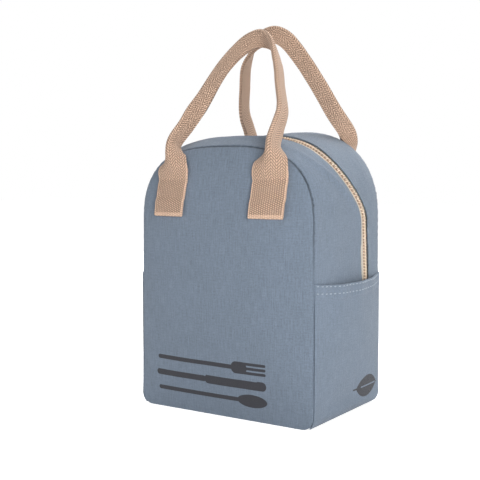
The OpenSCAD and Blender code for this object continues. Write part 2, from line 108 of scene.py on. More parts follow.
class BagTrim(bpy.types.PropertyGroup):
    """Sizes of the webbing and the zipper."""

    webbing: length("Webbing width", "Width of the handle webbing", 36.5 * MM)
    webbing_thick: length("Webbing thickness", "Thickness of the webbing", 2.0 * MM)
    tab_x: length("Tab place", "From the bag's middle to a tab's middle", 58 * MM)
    tab_low: length("Tab bottom", "Height of a tab's lower edge", 198 * MM)
    tab_top: length("Tab top", "Height of the upper stitch line", 233 * MM)
    tape: length("Tape width", "Width of one zipper tape", 15 * MM)
    tooth_pitch: length("Tooth pitch", "Distance from tooth to tooth", 3.1 * MM)
    reveal_front: length("Front reveal", "From the zipper's middle to the front canvas", 6.2 * MM)
    reveal_back: length("Back reveal", "From the zipper's middle to the back canvas", 4.0 * MM)


class BagColours(bpy.types.PropertyGroup):
    """Colours of the materials, as linear values."""

    canvas: colour("Canvas", "Grey blue cotton canvas", (0.205, 0.255, 0.325))
    lining: colour("Lining", "Off-white coated cotton", (0.60, 0.59, 0.54))
    webbing: colour("Webbing", "Natural tan cotton webbing", (0.505, 0.345, 0.252))
    thread: colour("Thread", "Pale grey blue thread", (0.37, 0.43, 0.50))
    tape: colour("Tape", "Cream zipper tape", (0.72, 0.64, 0.53))
    coil: colour("Coil", "Pale tan zipper coil", (0.80, 0.64, 0.51))
    ink: colour("Ink", "Charcoal printing ink", (0.035, 0.033, 0.038))
    metal: colour("Metal", "Satin nickel", (0.60, 0.58, 0.55))


def sizes():
    return bpy.context.scene.bag_sizes


def trim():
    return bpy.context.scene.bag_trim


def colours():
    return bpy.context.scene.bag_colours


# ------------------------------------------------------- shape of the bag

ARCH_POWER = 2.8
RISE_POWER = 4
CORNER_SWELL = 7 * MM
FRONT_RISE = 1.7 * MM
MIDDLE_Z = 120 * MM
ZIP_LEAN = 0.08
ZIP_LOW_Y = 32 * MM
ZIP_TOP_Y = -20 * MM
GUSSET_ROLL = 2.4 * MM
GUSSET_PULL = 0.8
FOLD_REACH = 9 * MM
HOLLOW_Y = -12 * MM
HOLLOW_DEPTH = 4.5 * MM
CROWN_Y = -46 * MM
PUCKER_PITCH = 7.5 * MM
PUCKER_REACH = 7 * MM
PUCKER_WANDER = 60 * MM
RIPPLE_WAVES = 7
RIPPLE_FALL = 0.55


def smooth(t):
    t = np.clip(t, 0.0, 1.0)
    return t * t * (3 - 2 * t)


def ramp(value, start, width):
    """Rises smoothly from 0 to 1 over a width."""
    return smooth((value - start) / width)


def bell(value, width):
    return np.exp(-((value / width) ** 2))


def mix(a, b, t):
    return a + (b - a) * t


def crowded(count):
    """Shares from 0 to 1, closer together at both ends."""
    t = np.linspace(0, 1, count)
    return t - 0.78 * np.sin(2 * math.pi * t) / (2 * math.pi)


def lengths(points):
    """Length along a polyline at each of its points."""
    steps = np.linalg.norm(np.diff(points, axis=0), axis=1)
    return np.concatenate([[0], np.cumsum(steps)])


def resampled(points, count, shares=None):
    """Points along a polyline, the outward normals of an anticlockwise outline, and lengths."""
    along = lengths(points)
    s = along[-1] * (np.linspace(0, 1, count) if shares is None else shares)
    p = np.stack([np.interp(s, along, points[:, k]) for k in (0, 1)], 1)
    t = np.gradient(p, axis=0)
    t /= np.linalg.norm(t, axis=1)[:, None]
    return p, np.stack([t[:, 1], -t[:, 0]], 1), s


def arch_points():
    z = sizes()
    t = np.linspace(0, math.pi, 240)
    c, s = np.cos(t), np.sin(t)
    x = z.width / 2 * np.sign(c) * np.abs(c) ** (2 / ARCH_POWER)
    up = z.arch_start + (z.height - z.arch_start) * np.clip(s, 0, 1) ** (2 / ARCH_POWER)
    return np.stack([x, up], 1)


def corner_points(side, start, end):
    z = sizes()
    t = np.radians(np.linspace(start, end, 24))
    reach = z.width / 2 - z.base_radius
    return np.stack([side * reach + z.base_radius * np.cos(t), z.base_radius * (1 + np.sin(t))], 1)


def upper_outline(z_low, count):
    """The seam's outline above a height, from the right up over the arch to the left."""
    half = sizes().width / 2
    rise = np.linspace(z_low, sizes().arch_start, 30)[:-1]
    right = np.stack([np.full(29, half), rise], 1)
    left = np.stack([np.full(29, -half), rise[::-1]], 1)
    return resampled(np.concatenate([right, arch_points(), left]), count)


def lower_outline(z_high, count):
    """The seam's outline below a height, from the left under the base to the right."""
    half = sizes().width / 2
    left, right = np.array([[-half, z_high]]), np.array([[half, z_high]])
    corners = (corner_points(-1, 180, 270), corner_points(1, 270, 360))
    return resampled(np.concatenate([left, *corners, right]), count)


def whole_outline(count):
    """The seam's closed outline, from the middle of the base anticlockwise and back to it."""
    base = np.array([[0.0, 0.0]])
    right, left = corner_points(1, 270, 360), corner_points(-1, 180, 270)
    return resampled(np.concatenate([base, right, arch_points(), left, base]), count)


def panel_area():
    """Flat area inside the seam's outline."""
    p = whole_outline(400)[0]
    return float(0.5 * abs(np.sum(p[:-1, 0] * p[1:, 1] - p[1:, 0] * p[:-1, 1])))


def half_at(z):
    """Half width of the outline at a height."""
    s = sizes()
    rise = np.clip((z - s.arch_start) / (s.height - s.arch_start), 0, 1)
    top = s.width / 2 * (1 - rise**ARCH_POWER) ** (1 / ARCH_POWER)
    low = np.clip(s.base_radius - z, 0, s.base_radius)
    corner = np.sqrt(np.maximum(s.base_radius**2 - low**2, 0))
    return np.maximum(top - s.base_radius + corner, 1e-5)


def swell(z, n):
    """How far the gusset stands out of the seam's outline, at its middle."""
    s = sizes()
    side = s.side_swell * ramp(z, s.base_radius, 0.5 * s.pocket_top)
    crown = (s.crown_swell - s.side_swell) * n[..., 1] ** 2
    crown = crown + CORNER_SWELL * np.abs(n[..., 0] * n[..., 1])
    return np.where(n[..., 1] < -1e-4, 0, side + crown * (n[..., 1] > 0))


def across(y):
    """Share of the swell at a place between the two seams."""
    return 1 - np.abs(2 * y / sizes().depth) ** 3


def lift(z, y):
    """How much higher the bag stands towards its back, and at its front's top edge."""
    s = sizes()
    climb = np.maximum(0, z - s.pocket_top) / (s.height - s.pocket_top)
    front = FRONT_RISE * ramp(z, 222 * MM, 42 * MM) * (0.5 - y / s.depth)
    return s.back_rise * (y / s.depth + 0.5) * climb**RISE_POWER + front


def zip_straight(z):
    return ZIP_LOW_Y - ZIP_LEAN * (z - sizes().pocket_top)


def zip_y(z):
    """Place of the zipper's middle between the seams, at a height."""
    s = sizes()
    bend = s.arch_start + 5 * MM
    over = s.height - 12 * MM
    return mix(zip_straight(z), ZIP_TOP_Y, ramp(z, bend, over - bend))


def ripple(p, size, seed, octaves=3):
    """Smooth bumps between about -1 and 1, the same on every run."""
    rng = np.random.default_rng(seed)
    total = np.zeros(p.shape[:-1])
    for octave in range(octaves):
        for _ in range(RIPPLE_WAVES):
            way = rng.normal(size=3)
            way /= np.linalg.norm(way)
            k = 2 * math.pi / size * 2**octave * rng.uniform(0.7, 1.4)
            total += np.sin(p @ way * k + rng.uniform(0, 6.28)) * RIPPLE_FALL**octave
    return total / 4.5


def puckers(here, along, near, size, wander, seed):
    """Small folds that run away from a seam and die out over a few millimetres."""
    drift = wander * ripple(here, PUCKER_WANDER, seed, 2)
    wave = np.sin(along / PUCKER_PITCH * 2 * math.pi + drift)
    return size * wave * np.exp(-near / PUCKER_REACH) * smooth(near / (2 * MM))


def tightness(z):
    """How hard the seam pulls in at a height: least at the base and most round the arch."""
    return mix(0.1, 0.36, smooth(z / (60 * MM))) + 0.64 * ramp(z, 130 * MM, 60 * MM)


def groove(d, z, roll):
    """Depth of the seam's groove at a distance from it: a tight roll in a soft hollow."""
    d = np.maximum(d, 0)
    edge = np.clip(1 - d / roll, 0, 1)
    rolled = 1 - np.sqrt(1 - 0.98 * edge**2)
    hollow = np.clip(1 - d / FOLD_REACH, 0, 1) ** 2
    return sizes().seam_depth * tightness(z) * (0.85 * rolled + 0.2 * hollow)


def crease_shade(d, z, roll):
    """How deep in the seam's fold a point is, from 0 to 1: the share of painted shade that darkens
    the cloth's colour there.
    """
    return np.clip(1.15 - np.maximum(d, 0) / roll, 0, 1) * tightness(z) ** 1.6


def sag(x, z, y):
    """How far the zipper hangs in behind the front edge of the top, on the left."""
    left = smooth((30 * MM - x) / (45 * MM))
    hollow = bell(y - HOLLOW_Y, np.where(y < HOLLOW_Y, 26 * MM, 62 * MM))
    crown = bell(y - CROWN_Y, 17 * MM) * ramp(z, 238 * MM, 24 * MM)
    crown_height = 2.4 * MM + 1.9 * MM * ramp(x, -50 * MM, 45 * MM)
    crown = crown * smooth((50 * MM - x) / (24 * MM)) * crown_height
    return HOLLOW_DEPTH * left * ramp(z, 205 * MM, 35 * MM) * hollow - crown


def gusset(points, normals, y, depth):
    """Points on the gusset, a depth below its outer face, for stations by columns of y."""
    z0 = points[:, None, 1]
    n = np.broadcast_to(normals[:, None, :], y.shape + (2,))
    sink = groove(sizes().depth / 2 - np.abs(y), z0, GUSSET_ROLL)
    out = swell(z0, n) * across(y) - depth - sink - sag(points[:, None, 0], z0, y)
    x = points[:, None, 0] + n[..., 0] * out
    z = z0 + n[..., 1] * out
    pulled = y - np.sign(y) * GUSSET_PULL * sink
    return np.stack([x, np.broadcast_to(pulled, x.shape), z + lift(z0, y)], -1)


def cloth_uv(crossways, along):
    """The cloth's own coordinates for a grid: crossways on its columns and along its rows."""
    shape = np.broadcast_shapes(crossways.shape, (len(along), 1))
    return np.stack([np.broadcast_to(k, shape) for k in (crossways, along[:, None])], -1)


# ------------------------------------------------------------ mesh makers


def select_only(obj):
    bpy.ops.object.select_all(action="DESELECT")
    obj.select_set(True)
    bpy.context.view_layer.objects.active = obj


def apply_modifiers(obj):
    select_only(obj)
    for name in [m.name for m in obj.modifiers]:
        bpy.ops.object.modifier_apply(modifier=name)


def new_object(name, data):
    obj = bpy.data.objects.new(name, data)
    bpy.context.scene.collection.objects.link(obj)
    return obj


def mesh_object(name, points, faces):
    mesh = bpy.data.meshes.new(name)
    mesh.from_pydata(points.reshape(-1, 3).tolist(), [], faces)
    mesh.update()
    return new_object(name, mesh)


def facing(*way):
    """A direction that is the same at every point."""
    return lambda p: np.broadcast_to(np.array(way, float), p.shape)


def from_axis(p):
    """Direction away from the bag's long middle line."""
    return np.stack([p[:, 0], 0 * p[:, 1], p[:, 2] - MIDDLE_Z], 1)


def grid_object(name, grid, uv, outward, closed=False, deep=None):
    """A sheet from rows and columns of points, its faces turned to the outward direction.

    uv holds the sheet's own coordinates in metres. outward gives the direction at each point.
    closed joins the last row to the first; deep, a painted seam shade, is kept as a point
    attribute.
    """
    rows, cols = grid.shape[:2]
    index = np.arange(rows * cols).reshape(rows, cols)
    if closed:
        index = np.concatenate([index, index[:1]], 0)
    around = (index[:-1, :-1], index[:-1, 1:], index[1:, 1:], index[1:, :-1])
    faces = np.stack(around, -1).reshape(-1, 4)
    points = grid.reshape(-1, 3)
    a, b, c, d = (points[faces[:, k]] for k in range(4))
    normal = np.cross(c - a, d - b)
    if (normal * outward((a + c) / 2)).sum() < 0:
        faces = faces[:, ::-1]
    obj = mesh_object(name, grid, faces.tolist())
    mesh = obj.data
    corner = np.empty(len(mesh.loops), int)
    mesh.loops.foreach_get("vertex_index", corner)
    flat = uv.reshape(-1, 2)[corner].astype(np.float32)
    mesh.uv_layers.new(name="cloth").data.foreach_set("uv", flat.ravel())
    # deep is painted shade: the cloth material darkens its colour where deep is high, in the seams'
    # creases.
    if deep is not None:
        fold = mesh.attributes.new("deep", "FLOAT", "POINT")
        values = np.broadcast_to(deep, grid.shape[:2]).astype(np.float32)
        fold.data.foreach_set("value", values.ravel())
    return obj


def turn_outwards(obj, merged=False):
    """Turns the faces outwards, after merging the points where a sheet meets itself."""
    select_only(obj)
    bpy.ops.object.mode_set(mode="EDIT")
    bpy.ops.mesh.select_all(action="SELECT")
    if merged:
        bpy.ops.mesh.remove_doubles(threshold=1e-6)
    bpy.ops.mesh.normals_make_consistent(inside=False)
    bpy.ops.object.mode_set(mode="OBJECT")


def tubes(name, rings, angle):
    """Closed tubes, from points for each tube, each of its rings and each side of a ring."""
    count, ring_count, sides = rings.shape[:3]
    step = ring_count * sides
    faces = []
    for start in range(0, count * step, step):
        for row in range(start, start + step - sides, sides):
            for k in range(sides):
                a, c = row + k, row + (k + 1) % sides
                faces.append((a, c, c + sides, a + sides))
        faces.append(tuple(start + k for k in reversed(range(sides))))
        faces.append(tuple(start + step - sides + k for k in range(sides)))
    obj = mesh_object(name, rings, faces)
    turn_outwards(obj)
    smooth_shade(obj, angle)
    return obj


def smooth_shade(obj, angle=50):
    select_only(obj)
    bpy.ops.object.shade_smooth_by_angle(angle=math.radians(angle))


def add_wall(obj, thick, offset=-1.0):
    """A modifier that gives a sheet its thickness, inwards from its outer face by default."""
    modifier = obj.modifiers.new("wall", "SOLIDIFY")
    modifier.thickness = thick
    modifier.offset = offset
    modifier.use_even_offset = False


def add_rim(obj, width):
    """A modifier that rounds sharp edges."""
    modifier = obj.modifiers.new("rim", "BEVEL")
    modifier.width = width
    modifier.segments = 2
    modifier.limit_method = "ANGLE"
    return modifier


def thicken(obj, thick):
    add_wall(obj, thick)
    apply_modifiers(obj)
    smooth_shade(obj)


def finish_piece(obj, material, nodes, carrier):
    """Gives a piece its material, hides the parts named by nodes, and puts it on its body, or else
    bakes its place into its mesh.
    """
    obj.data.materials.clear()
    obj.data.materials.append(get_material(material))
    if nodes:
        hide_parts(*nodes)
    if isinstance(carrier, str):
        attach(obj, carrier)
    else:
        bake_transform(obj)
    return obj


def mouth_bend():
    """The stretch over which cloth bends when the mouth opens."""
    low = sizes().pocket_top
    return ("bag", "front_flap", (0, 0, low), (0, 0, low + 58 * MM))


# -------------------------------------------------------------- materials

CANVAS_PITCH = 0.8 * MM
RIB_PITCH = 2.3 * MM
SEWN_PITCH = 1.95 * MM
LOOSE_PITCH = 2.85 * MM
CHEVRON = 5.2 * MM


class Nodes:
    """A small helper that builds the node tree of a material or of the world."""

    def __init__(self, owner):
        owner.use_nodes = True
        self.owner = owner
        self.tree = owner.node_tree
        self.bsdf = self.tree.nodes.get("Principled BSDF")

    def add(self, kind, **inputs):
        node = self.tree.nodes.new(kind)
        for key, value in inputs.items():
            self.feed(node, key, value)
        return node

    def feed(self, node, key, value):
        """Links or sets an input, named by its label or by i and its number."""
        numbered = key[0] == "i" and key[1:].isdigit()
        socket = node.inputs[int(key[1:]) if numbered else key]
        if isinstance(value, bpy.types.NodeSocket):
            self.tree.links.new(value, socket)
        else:
            socket.default_value = value

    def math(self, operation, a, b=0.0, c=0.0):
        node = self.add("ShaderNodeMath", i0=a, i1=b, i2=c)
        node.operation = operation
        return node.outputs[0]

    def product(self, *values):
        total = values[0]
        for value in values[1:]:
            total = self.math("MULTIPLY", total, value)
        return total

    def spread(self, value, low, high):
        """Maps 0..1 to low..high."""
        return self.math("MULTIPLY_ADD", value, high - low, low)

    def ridge(self, turns):
        """Rounded ridges, one for each whole number."""
        return self.math("ABSOLUTE", self.math("SINE", self.math("MULTIPLY", turns, math.pi)))

    def uv(self):
        node = self.add("ShaderNodeUVMap")
        node.uv_map = "cloth"
        parts = self.add("ShaderNodeSeparateXYZ", i0=node.outputs[0])
        return parts.outputs[0], parts.outputs[1], node.outputs[0]

    def place(self):
        return self.add("ShaderNodeTexCoord").outputs["Object"]

    def noise(self, vector, scale, detail=2.0, rough=0.5):
        inputs = {"Vector": vector, "Scale": scale, "Detail": detail, "Roughness": rough}
        return self.add("ShaderNodeTexNoise", **inputs).outputs[0]

    def streaks(self, vector, by, detail=1.0, rough=0.5):
        """Noise stretched by its own scale along each axis."""
        mapped = self.add("ShaderNodeMapping", Vector=vector, Scale=(*by, 1.0)[:3])
        return self.noise(mapped.outputs[0], 1.0, detail, rough)

    def blend(self, factor, a, b, kind="MIX"):
        node = self.add("ShaderNodeMix")
        node.data_type = "RGBA"
        node.blend_type = kind
        for key, value in (("i0", factor), ("i6", a), ("i7", b)):
            plain = key != "i0" and not isinstance(value, bpy.types.NodeSocket)
            self.feed(node, key, (*value, 1.0) if plain else value)
        return node.outputs[2]

    def shades(self, base, shade, tint=None):
        """The base colour darkened or lightened by a factor around 1, with its own for blue."""
        blue = shade if tint is None else tint
        grey = self.add("ShaderNodeCombineColor", i0=shade, i1=shade, i2=blue)
        return self.blend(1.0, base, grey.outputs[0], "MULTIPLY")

    def bump(self, height, strength, distance, normal=None):
        node = self.add("ShaderNodeBump", Height=height, Strength=strength, Distance=distance)
        if normal is not None:
            self.feed(node, "Normal", normal)
        return node.outputs[0]

    def weave(self, u, v, pitch):
        """Height of a plain weave, 0 in its gaps and 1 on its threads."""
        a, b = self.math("DIVIDE", u, pitch), self.math("DIVIDE", v, pitch)
        cell = self.math("ADD", self.math("FLOOR", a), self.math("FLOOR", b))
        odd = self.math("PINGPONG", cell, 1.0)
        warp, weft = self.ridge(a), self.ridge(b)
        over = self.product(warp, self.math("POWER", weft, 0.35), odd)
        even = self.math("SUBTRACT", 1.0, odd)
        under = self.product(weft, self.math("POWER", warp, 0.35), even)
        return self.math("ADD", over, under)

    def surface(self, colour_socket, rough, normal, sheen=0.0, sheen_tint=(1, 1, 1)):
        self.feed(self.bsdf, "Base Color", colour_socket)
        self.feed(self.bsdf, "Roughness", rough)
        self.feed(self.bsdf, "Normal", normal)
        self.feed(self.bsdf, "Specular IOR Level", 0.25)
        if sheen:
            self.feed(self.bsdf, "Sheen Weight", sheen)
            self.feed(self.bsdf, "Sheen Roughness", 0.5)
            self.feed(self.bsdf, "Sheen Tint", (*sheen_tint, 1.0))
        return self.owner

    def backdrop(self):
        """1 for rays that see the pale backdrop, and 0 for those that carry light."""
        rays = self.add("ShaderNodeLightPath").outputs
        mirrored = self.math("ADD", rays["Is Glossy Ray"], rays["Is Transmission Ray"])
        return self.math("MINIMUM", self.math("ADD", rays["Is Camera Ray"], mirrored), 1.0)


def new_material(name):
    return Nodes(bpy.data.materials.new(name))


def cloth_material(name, base, pitch, rough=0.9, sheen=0.15, depth=0.22, slub=1.0, ink=None):
    """Plain-woven cloth: threads, slubs, faint fading, painted shade in the seams' creases and a
    soft sheen.

    depth is the threads' height in millimetres, slub the strength of the thick and thin yarns,
    and ink a function that prints on the cloth or paints shade on it.
    """
    n = new_material(name)
    u, v, uv = n.uv()
    weave = n.weave(u, v, pitch)
    cloudy = n.noise(uv, 22.0, 3.0)
    warp = n.streaks(uv, (0.75 / pitch, 75.0))
    weft = n.streaks(uv, (110.0, 0.75 / pitch))
    speck = n.noise(uv, 0.45 / pitch, 2.0, 0.75)
    # Painted shade: the colour is darkened down to 0.28 where the deep attribute marks a seam's
    # crease.
    fold = n.add("ShaderNodeAttribute")
    fold.attribute_name = "deep"
    shade = n.product(
        n.spread(weave, 0.70, 1.07),
        n.spread(cloudy, 0.95, 1.05),
        n.spread(warp, 1 - 0.22 * slub, 1 + 0.22 * slub),
        n.spread(weft, 1 - 0.13 * slub, 1 + 0.13 * slub),
        n.spread(speck, 0.74, 1.26),
        n.spread(fold.outputs["Fac"], 1.0, 0.28),
    )
    cloth = n.shades(base, shade, n.product(shade, n.spread(cloudy, 0.985, 1.015)))
    if ink is not None:
        cloth = ink(n, u, v, weave, cloth)
    fuzz = n.noise(uv, 900.0)
    height = n.math("ADD", n.product(weave, 0.75), n.product(fuzz, 0.25))
    thread = n.bump(height, 0.75, depth * MM)
    soft = n.bump(n.noise(uv, 55.0, 3.0), 0.35, 0.7 * MM, thread)
    return n.surface(cloth, n.spread(speck, rough - 0.06, rough + 0.06), soft, sheen)


def webbing_material():
    """Heavy cotton webbing: dotted ribs in a chevron, plain on the sewn tabs.

    The webbing's v starts at its turned-under end, so the tab's pale fold lies at one v, the
    selvedge is pale up to another, and the loose handle's pattern starts between them.
    """
    fold, fold_half, tab_end, pale_end = 15.3 * MM, 1.9 * MM, 51 * MM, 66 * MM
    n = new_material("webbing cotton")
    u, v, uv = n.uv()
    half = trim().webbing / 2
    loose = n.math("GREATER_THAN", v, tab_end)
    sewn = n.math("SUBTRACT", 1.0, loose)
    selvedge = n.math("GREATER_THAN", n.math("ABSOLUTE", u), half - 1.5 * MM)
    selvedge = n.product(selvedge, n.math("LESS_THAN", v, pale_end))
    folded = n.math("LESS_THAN", n.math("ABSOLUTE", n.math("SUBTRACT", v, fold)), fold_half)
    pale = n.math("MAXIMUM", selvedge, folded)
    chevron = n.math("PINGPONG", n.math("ADD", u, half), CHEVRON)
    slant = n.math("MULTIPLY_ADD", n.product(chevron, loose), 1.1, v)
    jitter = n.noise(uv, 260.0)
    ribs = n.math("DIVIDE", n.math("MULTIPLY_ADD", jitter, 0.5 * MM, u), RIB_PITCH)
    pitch = n.spread(loose, SEWN_PITCH, LOOSE_PITCH)
    rows = n.math("DIVIDE", n.math("MULTIPLY_ADD", jitter, 0.6 * MM, slant), pitch)
    odd = n.math("PINGPONG", n.math("FLOOR", ribs), 1.0)
    shifted = n.math("ADD", rows, n.product(odd, n.product(sewn, 0.5)))
    knots = n.product(
        n.math("POWER", n.ridge(ribs), n.spread(sewn, 0.35, 0.8)),
        n.math("POWER", n.ridge(shifted), 1.1),
    )
    cloudy = n.noise(uv, 60.0, 3.0)
    fleck = n.streaks(uv, (620.0, 520.0), 2.0, 0.7)
    fibre = n.streaks(uv, (3200.0, 900.0))
    light = n.product(knots, n.spread(fleck, 0.42, 1.4), 1.15)
    light = n.math("MINIMUM", n.math("MULTIPLY_ADD", pale, 0.5, light), 1.0)
    dark, bright = ([share * k for k in colours().webbing] for share in (0.44, 1.5))
    yarn = n.blend(light, dark, bright)
    cotton = n.shades(yarn, n.product(n.spread(cloudy, 0.90, 1.10), n.spread(fibre, 0.90, 1.10)))
    height = n.math("ADD", n.product(knots, 0.85), n.product(fibre, 0.15))
    normal = n.bump(height, 0.8, 0.6 * MM)
    return n.surface(cotton, n.spread(fleck, 0.86, 0.97), normal, 0.2, (1.0, 0.92, 0.85))


def thread_material(name, base):
    """Twisted sewing thread."""
    n = new_material(name)
    where = n.place()
    wave = n.add("ShaderNodeTexWave", Vector=where, Scale=620.0, Distortion=2.0)
    ply = wave.outputs[1]
    shade = n.product(n.spread(ply, 0.82, 1.08), n.spread(n.noise(where, 300.0), 0.85, 1.15))
    return n.surface(n.shades(base, shade), 0.62, n.bump(ply, 0.5, 0.08 * MM), 0.2)


def coil_material():
    """Moulded nylon, a little translucent, its tone varying at random."""
    n = new_material("nylon coil")
    tone = n.noise(n.place(), 480.0)
    bright = n.shades(colours().coil, n.spread(tone, 0.8, 1.25), n.spread(tone, 0.78, 1.2))
    n.feed(n.bsdf, "Subsurface Weight", 0.15)
    n.feed(n.bsdf, "Subsurface Radius", (0.001, 0.0006, 0.0004))
    return n.surface(bright, n.spread(tone, 0.34, 0.5), n.bump(tone, 0.2, 0.1 * MM))


def metal_material():
    """Satin plated metal with faint scratches and darker spots at random."""
    n = new_material("satin nickel")
    where = n.place()
    brushed = n.streaks(where, (300.0, 300.0, 4200.0), 2.0)
    spots = n.noise(where, 420.0, 3.0)
    n.feed(n.bsdf, "Metallic", 1.0)
    shade = n.product(n.spread(brushed, 0.88, 1.08), n.spread(spots, 0.88, 1.06))
    scratches = n.bump(brushed, 0.15, 0.04 * MM)
    return n.surface(n.shades(colours().metal, shade), n.spread(brushed, 0.26, 0.46), scratches)


MATERIALS = {}


def dyed(base, share):
    return [share * k for k in base]


def get_material(name):
    """The object's materials, each made once."""
    if not MATERIALS:
        c = colours()
        thin = {"rough": 0.55, "sheen": 0.05, "depth": 0.06, "slub": 0.3}
        narrow = {"rough": 0.8, "sheen": 0.1, "depth": 0.12, "slub": 0.6}
        MATERIALS.update(
            canvas=cloth_material("cotton canvas", c.canvas, CANVAS_PITCH),
            front=cloth_material("printed canvas", c.canvas, CANVAS_PITCH, ink=front_print),
            pocket=cloth_material("pocket canvas", c.canvas, CANVAS_PITCH, ink=pocket_print),
            lining=cloth_material("coated lining", c.lining, 0.45 * MM, **thin),
            binding=cloth_material("seam binding", dyed(c.canvas, 0.8), 0.5 * MM, depth=0.12),
            # The zipper tape's tan middle is painted shade under the teeth.
            tape=cloth_material("zipper tape", c.tape, 0.55 * MM, **narrow, ink=tape_shade_under_teeth),
            webbing=webbing_material(),
            thread=thread_material("hem thread", c.thread),
            seam_thread=thread_material("seam thread", dyed(c.canvas, 0.9)),
            tan_thread=thread_material("tan thread", dyed(c.webbing, 1.5)),
            coil=coil_material(),
            metal=metal_material(),
        )
    return MATERIALS[name]


# ----------------------------------------------------- printed decoration

PRINT_LEFT = -80 * MM
PRINT_RIGHT = 54 * MM
LEAF_X = 38 * MM
LEAF_Z = 24 * MM


def bar(n, u, v, x, z, half_long, half_tall, radius):
    """Signed distance to a rounded bar, in metres."""
    dx = n.math("SUBTRACT", n.math("ABSOLUTE", n.math("SUBTRACT", u, x)), half_long - radius)
    dz = n.math("SUBTRACT", n.math("ABSOLUTE", n.math("SUBTRACT", v, z)), half_tall - radius)
    out = distance(n, n.math("MAXIMUM", dx, 0.0), n.math("MAXIMUM", dz, 0.0))
    inside = n.math("MINIMUM", n.math("MAXIMUM", dx, dz), 0.0)
    return n.math("SUBTRACT", n.math("ADD", out, inside), radius)


def oval(n, u, v, x, z, half_long, half_tall):
    """Roughly signed distance to an oval."""
    px = n.math("DIVIDE", n.math("SUBTRACT", u, x), half_long)
    pz = n.math("DIVIDE", n.math("SUBTRACT", v, z), half_tall)
    return n.product(n.math("SUBTRACT", distance(n, px, pz), 1.0), min(half_long, half_tall))


def distance(n, a, b):
    return n.math("SQRT", n.math("ADD", n.product(a, a), n.product(b, b)))


def join(n, *shapes):
    total = shapes[0]
    for shape in shapes[1:]:
        total = n.math("MINIMUM", total, shape)
    return total


def cut(n, shape, hole):
    return n.math("MAXIMUM", shape, n.product(hole, -1.0))


def inked(n, shape, u, v, weave, cloth):
    """Charcoal ink where the shape's distance is negative, thinner in the weave's gaps."""
    vector = n.add("ShaderNodeCombineXYZ", i0=u, i1=v).outputs[0]
    rough_edge = n.noise(vector, 1400.0, 1.0)
    shape = n.math("MULTIPLY_ADD", rough_edge, 0.3 * MM, shape)
    cover = n.math("MULTIPLY_ADD", shape, -1 / (0.25 * MM), 0.9)
    cover = n.math("MINIMUM", n.math("MAXIMUM", cover, 0.0), 1.0)
    cover = n.product(cover, n.spread(weave, 0.86, 0.99))
    return n.blend(cover, cloth, n.shades(colours().ink, n.spread(weave, 0.8, 1.35)))


def tape_shade_under_teeth(n, u, v, weave, cloth):
    """The tape's middle under the teeth, painted darker and tan as the shade between the teeth."""
    near = n.math("LESS_THAN", n.math("ABSOLUTE", u), 3.0 * MM)
    return n.blend(near, cloth, n.shades(colours().webbing, n.spread(weave, 0.75, 1.1)))


def front_print(n, u, v, weave, cloth):
    """A fork, a knife and a spoon, one above the other, low on the front."""
    left, right = PRINT_LEFT, PRINT_RIGHT
    middle, half = (left + right) / 2, (right - left) / 2

    def rod(x, z, *size):
        return bar(n, u, v, x, z, *(k * MM for k in size))

    def stem(x, z, long):
        return bar(n, u, v, x, z, long, 2.2 * MM, 2.2 * MM)

    fork_z, knife_z, spoon_z = 53 * MM, 37 * MM, 21 * MM
    tines = [rod(right - 13 * MM, fork_z + k * 4.4 * MM, 13, 1.45, 1.4) for k in (-1, 0, 1)]
    neck = rod(right - 30 * MM, fork_z, 9, 6.0, 5.5)
    fork = join(n, stem(middle - 16 * MM, fork_z, half - 18 * MM), neck, *tines)
    blade = rod(left + 98 * MM, knife_z, 36, 4.6, 4.5)
    blade = cut(n, blade, rod(left + 80 * MM, knife_z + 8 * MM, 46, 4, 3))
    knife = join(n, rod(left + 32 * MM, knife_z, 32, 3.0, 3.0), blade)
    bowl = oval(n, u, v, right - 17 * MM, spoon_z, 17 * MM, 6.6 * MM)
    spoon = join(n, stem(middle - 12 * MM, spoon_z, half - 14 * MM), bowl)
    return inked(n, join(n, fork, knife, spoon), u, v, weave, cloth)


def pocket_print(n, u, v, weave, cloth):
    """A leaf with a bare midrib, low on the side pocket."""
    x, z = LEAF_X, LEAF_Z
    reach, drop = 30 * MM, 18.5 * MM
    halves = [oval(n, u, v, x, z + way * drop, reach, reach) for way in (-1, 1)]
    rib = bar(n, u, v, x + 4 * MM, z, 17 * MM, 0.7 * MM, 0.6 * MM)
    stem = bar(n, u, v, x - 24 * MM, z, 6 * MM, 1.0 * MM, 0.9 * MM)
    leaf = cut(n, n.math("MAXIMUM", *halves), rib)
    return inked(n, join(n, leaf, stem), u, v, weave, cloth)


# ------------------------------------------------------------ front, back

SURFACES = {}
FACES = {-1: "front", 1: "back"}
OUTSIDE = 120 * MM
RAY_START = 80 * MM
PANEL_ROLL = 1.3 * MM
# Reach of the painted shade in the seam's crease on the panels.
PANEL_SHADE_REACH = 1.2 * MM
PANEL_PULL = 0.45
# Reach of the painted shade in the seam's crease on the gusset.
GUSSET_SHADE_REACH = 2.0 * MM
PANEL_LIFT = 0.1 * MM
GUSSET_LIFT = 0.15 * MM


def remember(name, obj):
    """Keeps a piece's outer shape, so that what is sewn on can lie on it."""
    points = [v.co.copy() for v in obj.data.vertices]
    faces = [tuple(p.vertices) for p in obj.data.polygons]
    SURFACES[name] = BVHTree.FromPolygons(points, faces)


def on_surface(name, point, direction):
    """The first point of a kept surface that a ray from outside meets, and its normal."""
    point, direction = Vector(point), Vector(direction)
    place, normal, _, _ = SURFACES[name].ray_cast(point - direction * RAY_START, direction)
    if place is None:
        place, normal, _, _ = SURFACES[name].find_nearest(point)
    if normal.dot(direction) > 0:
        normal = -normal
    return np.array(place), np.array(normal)


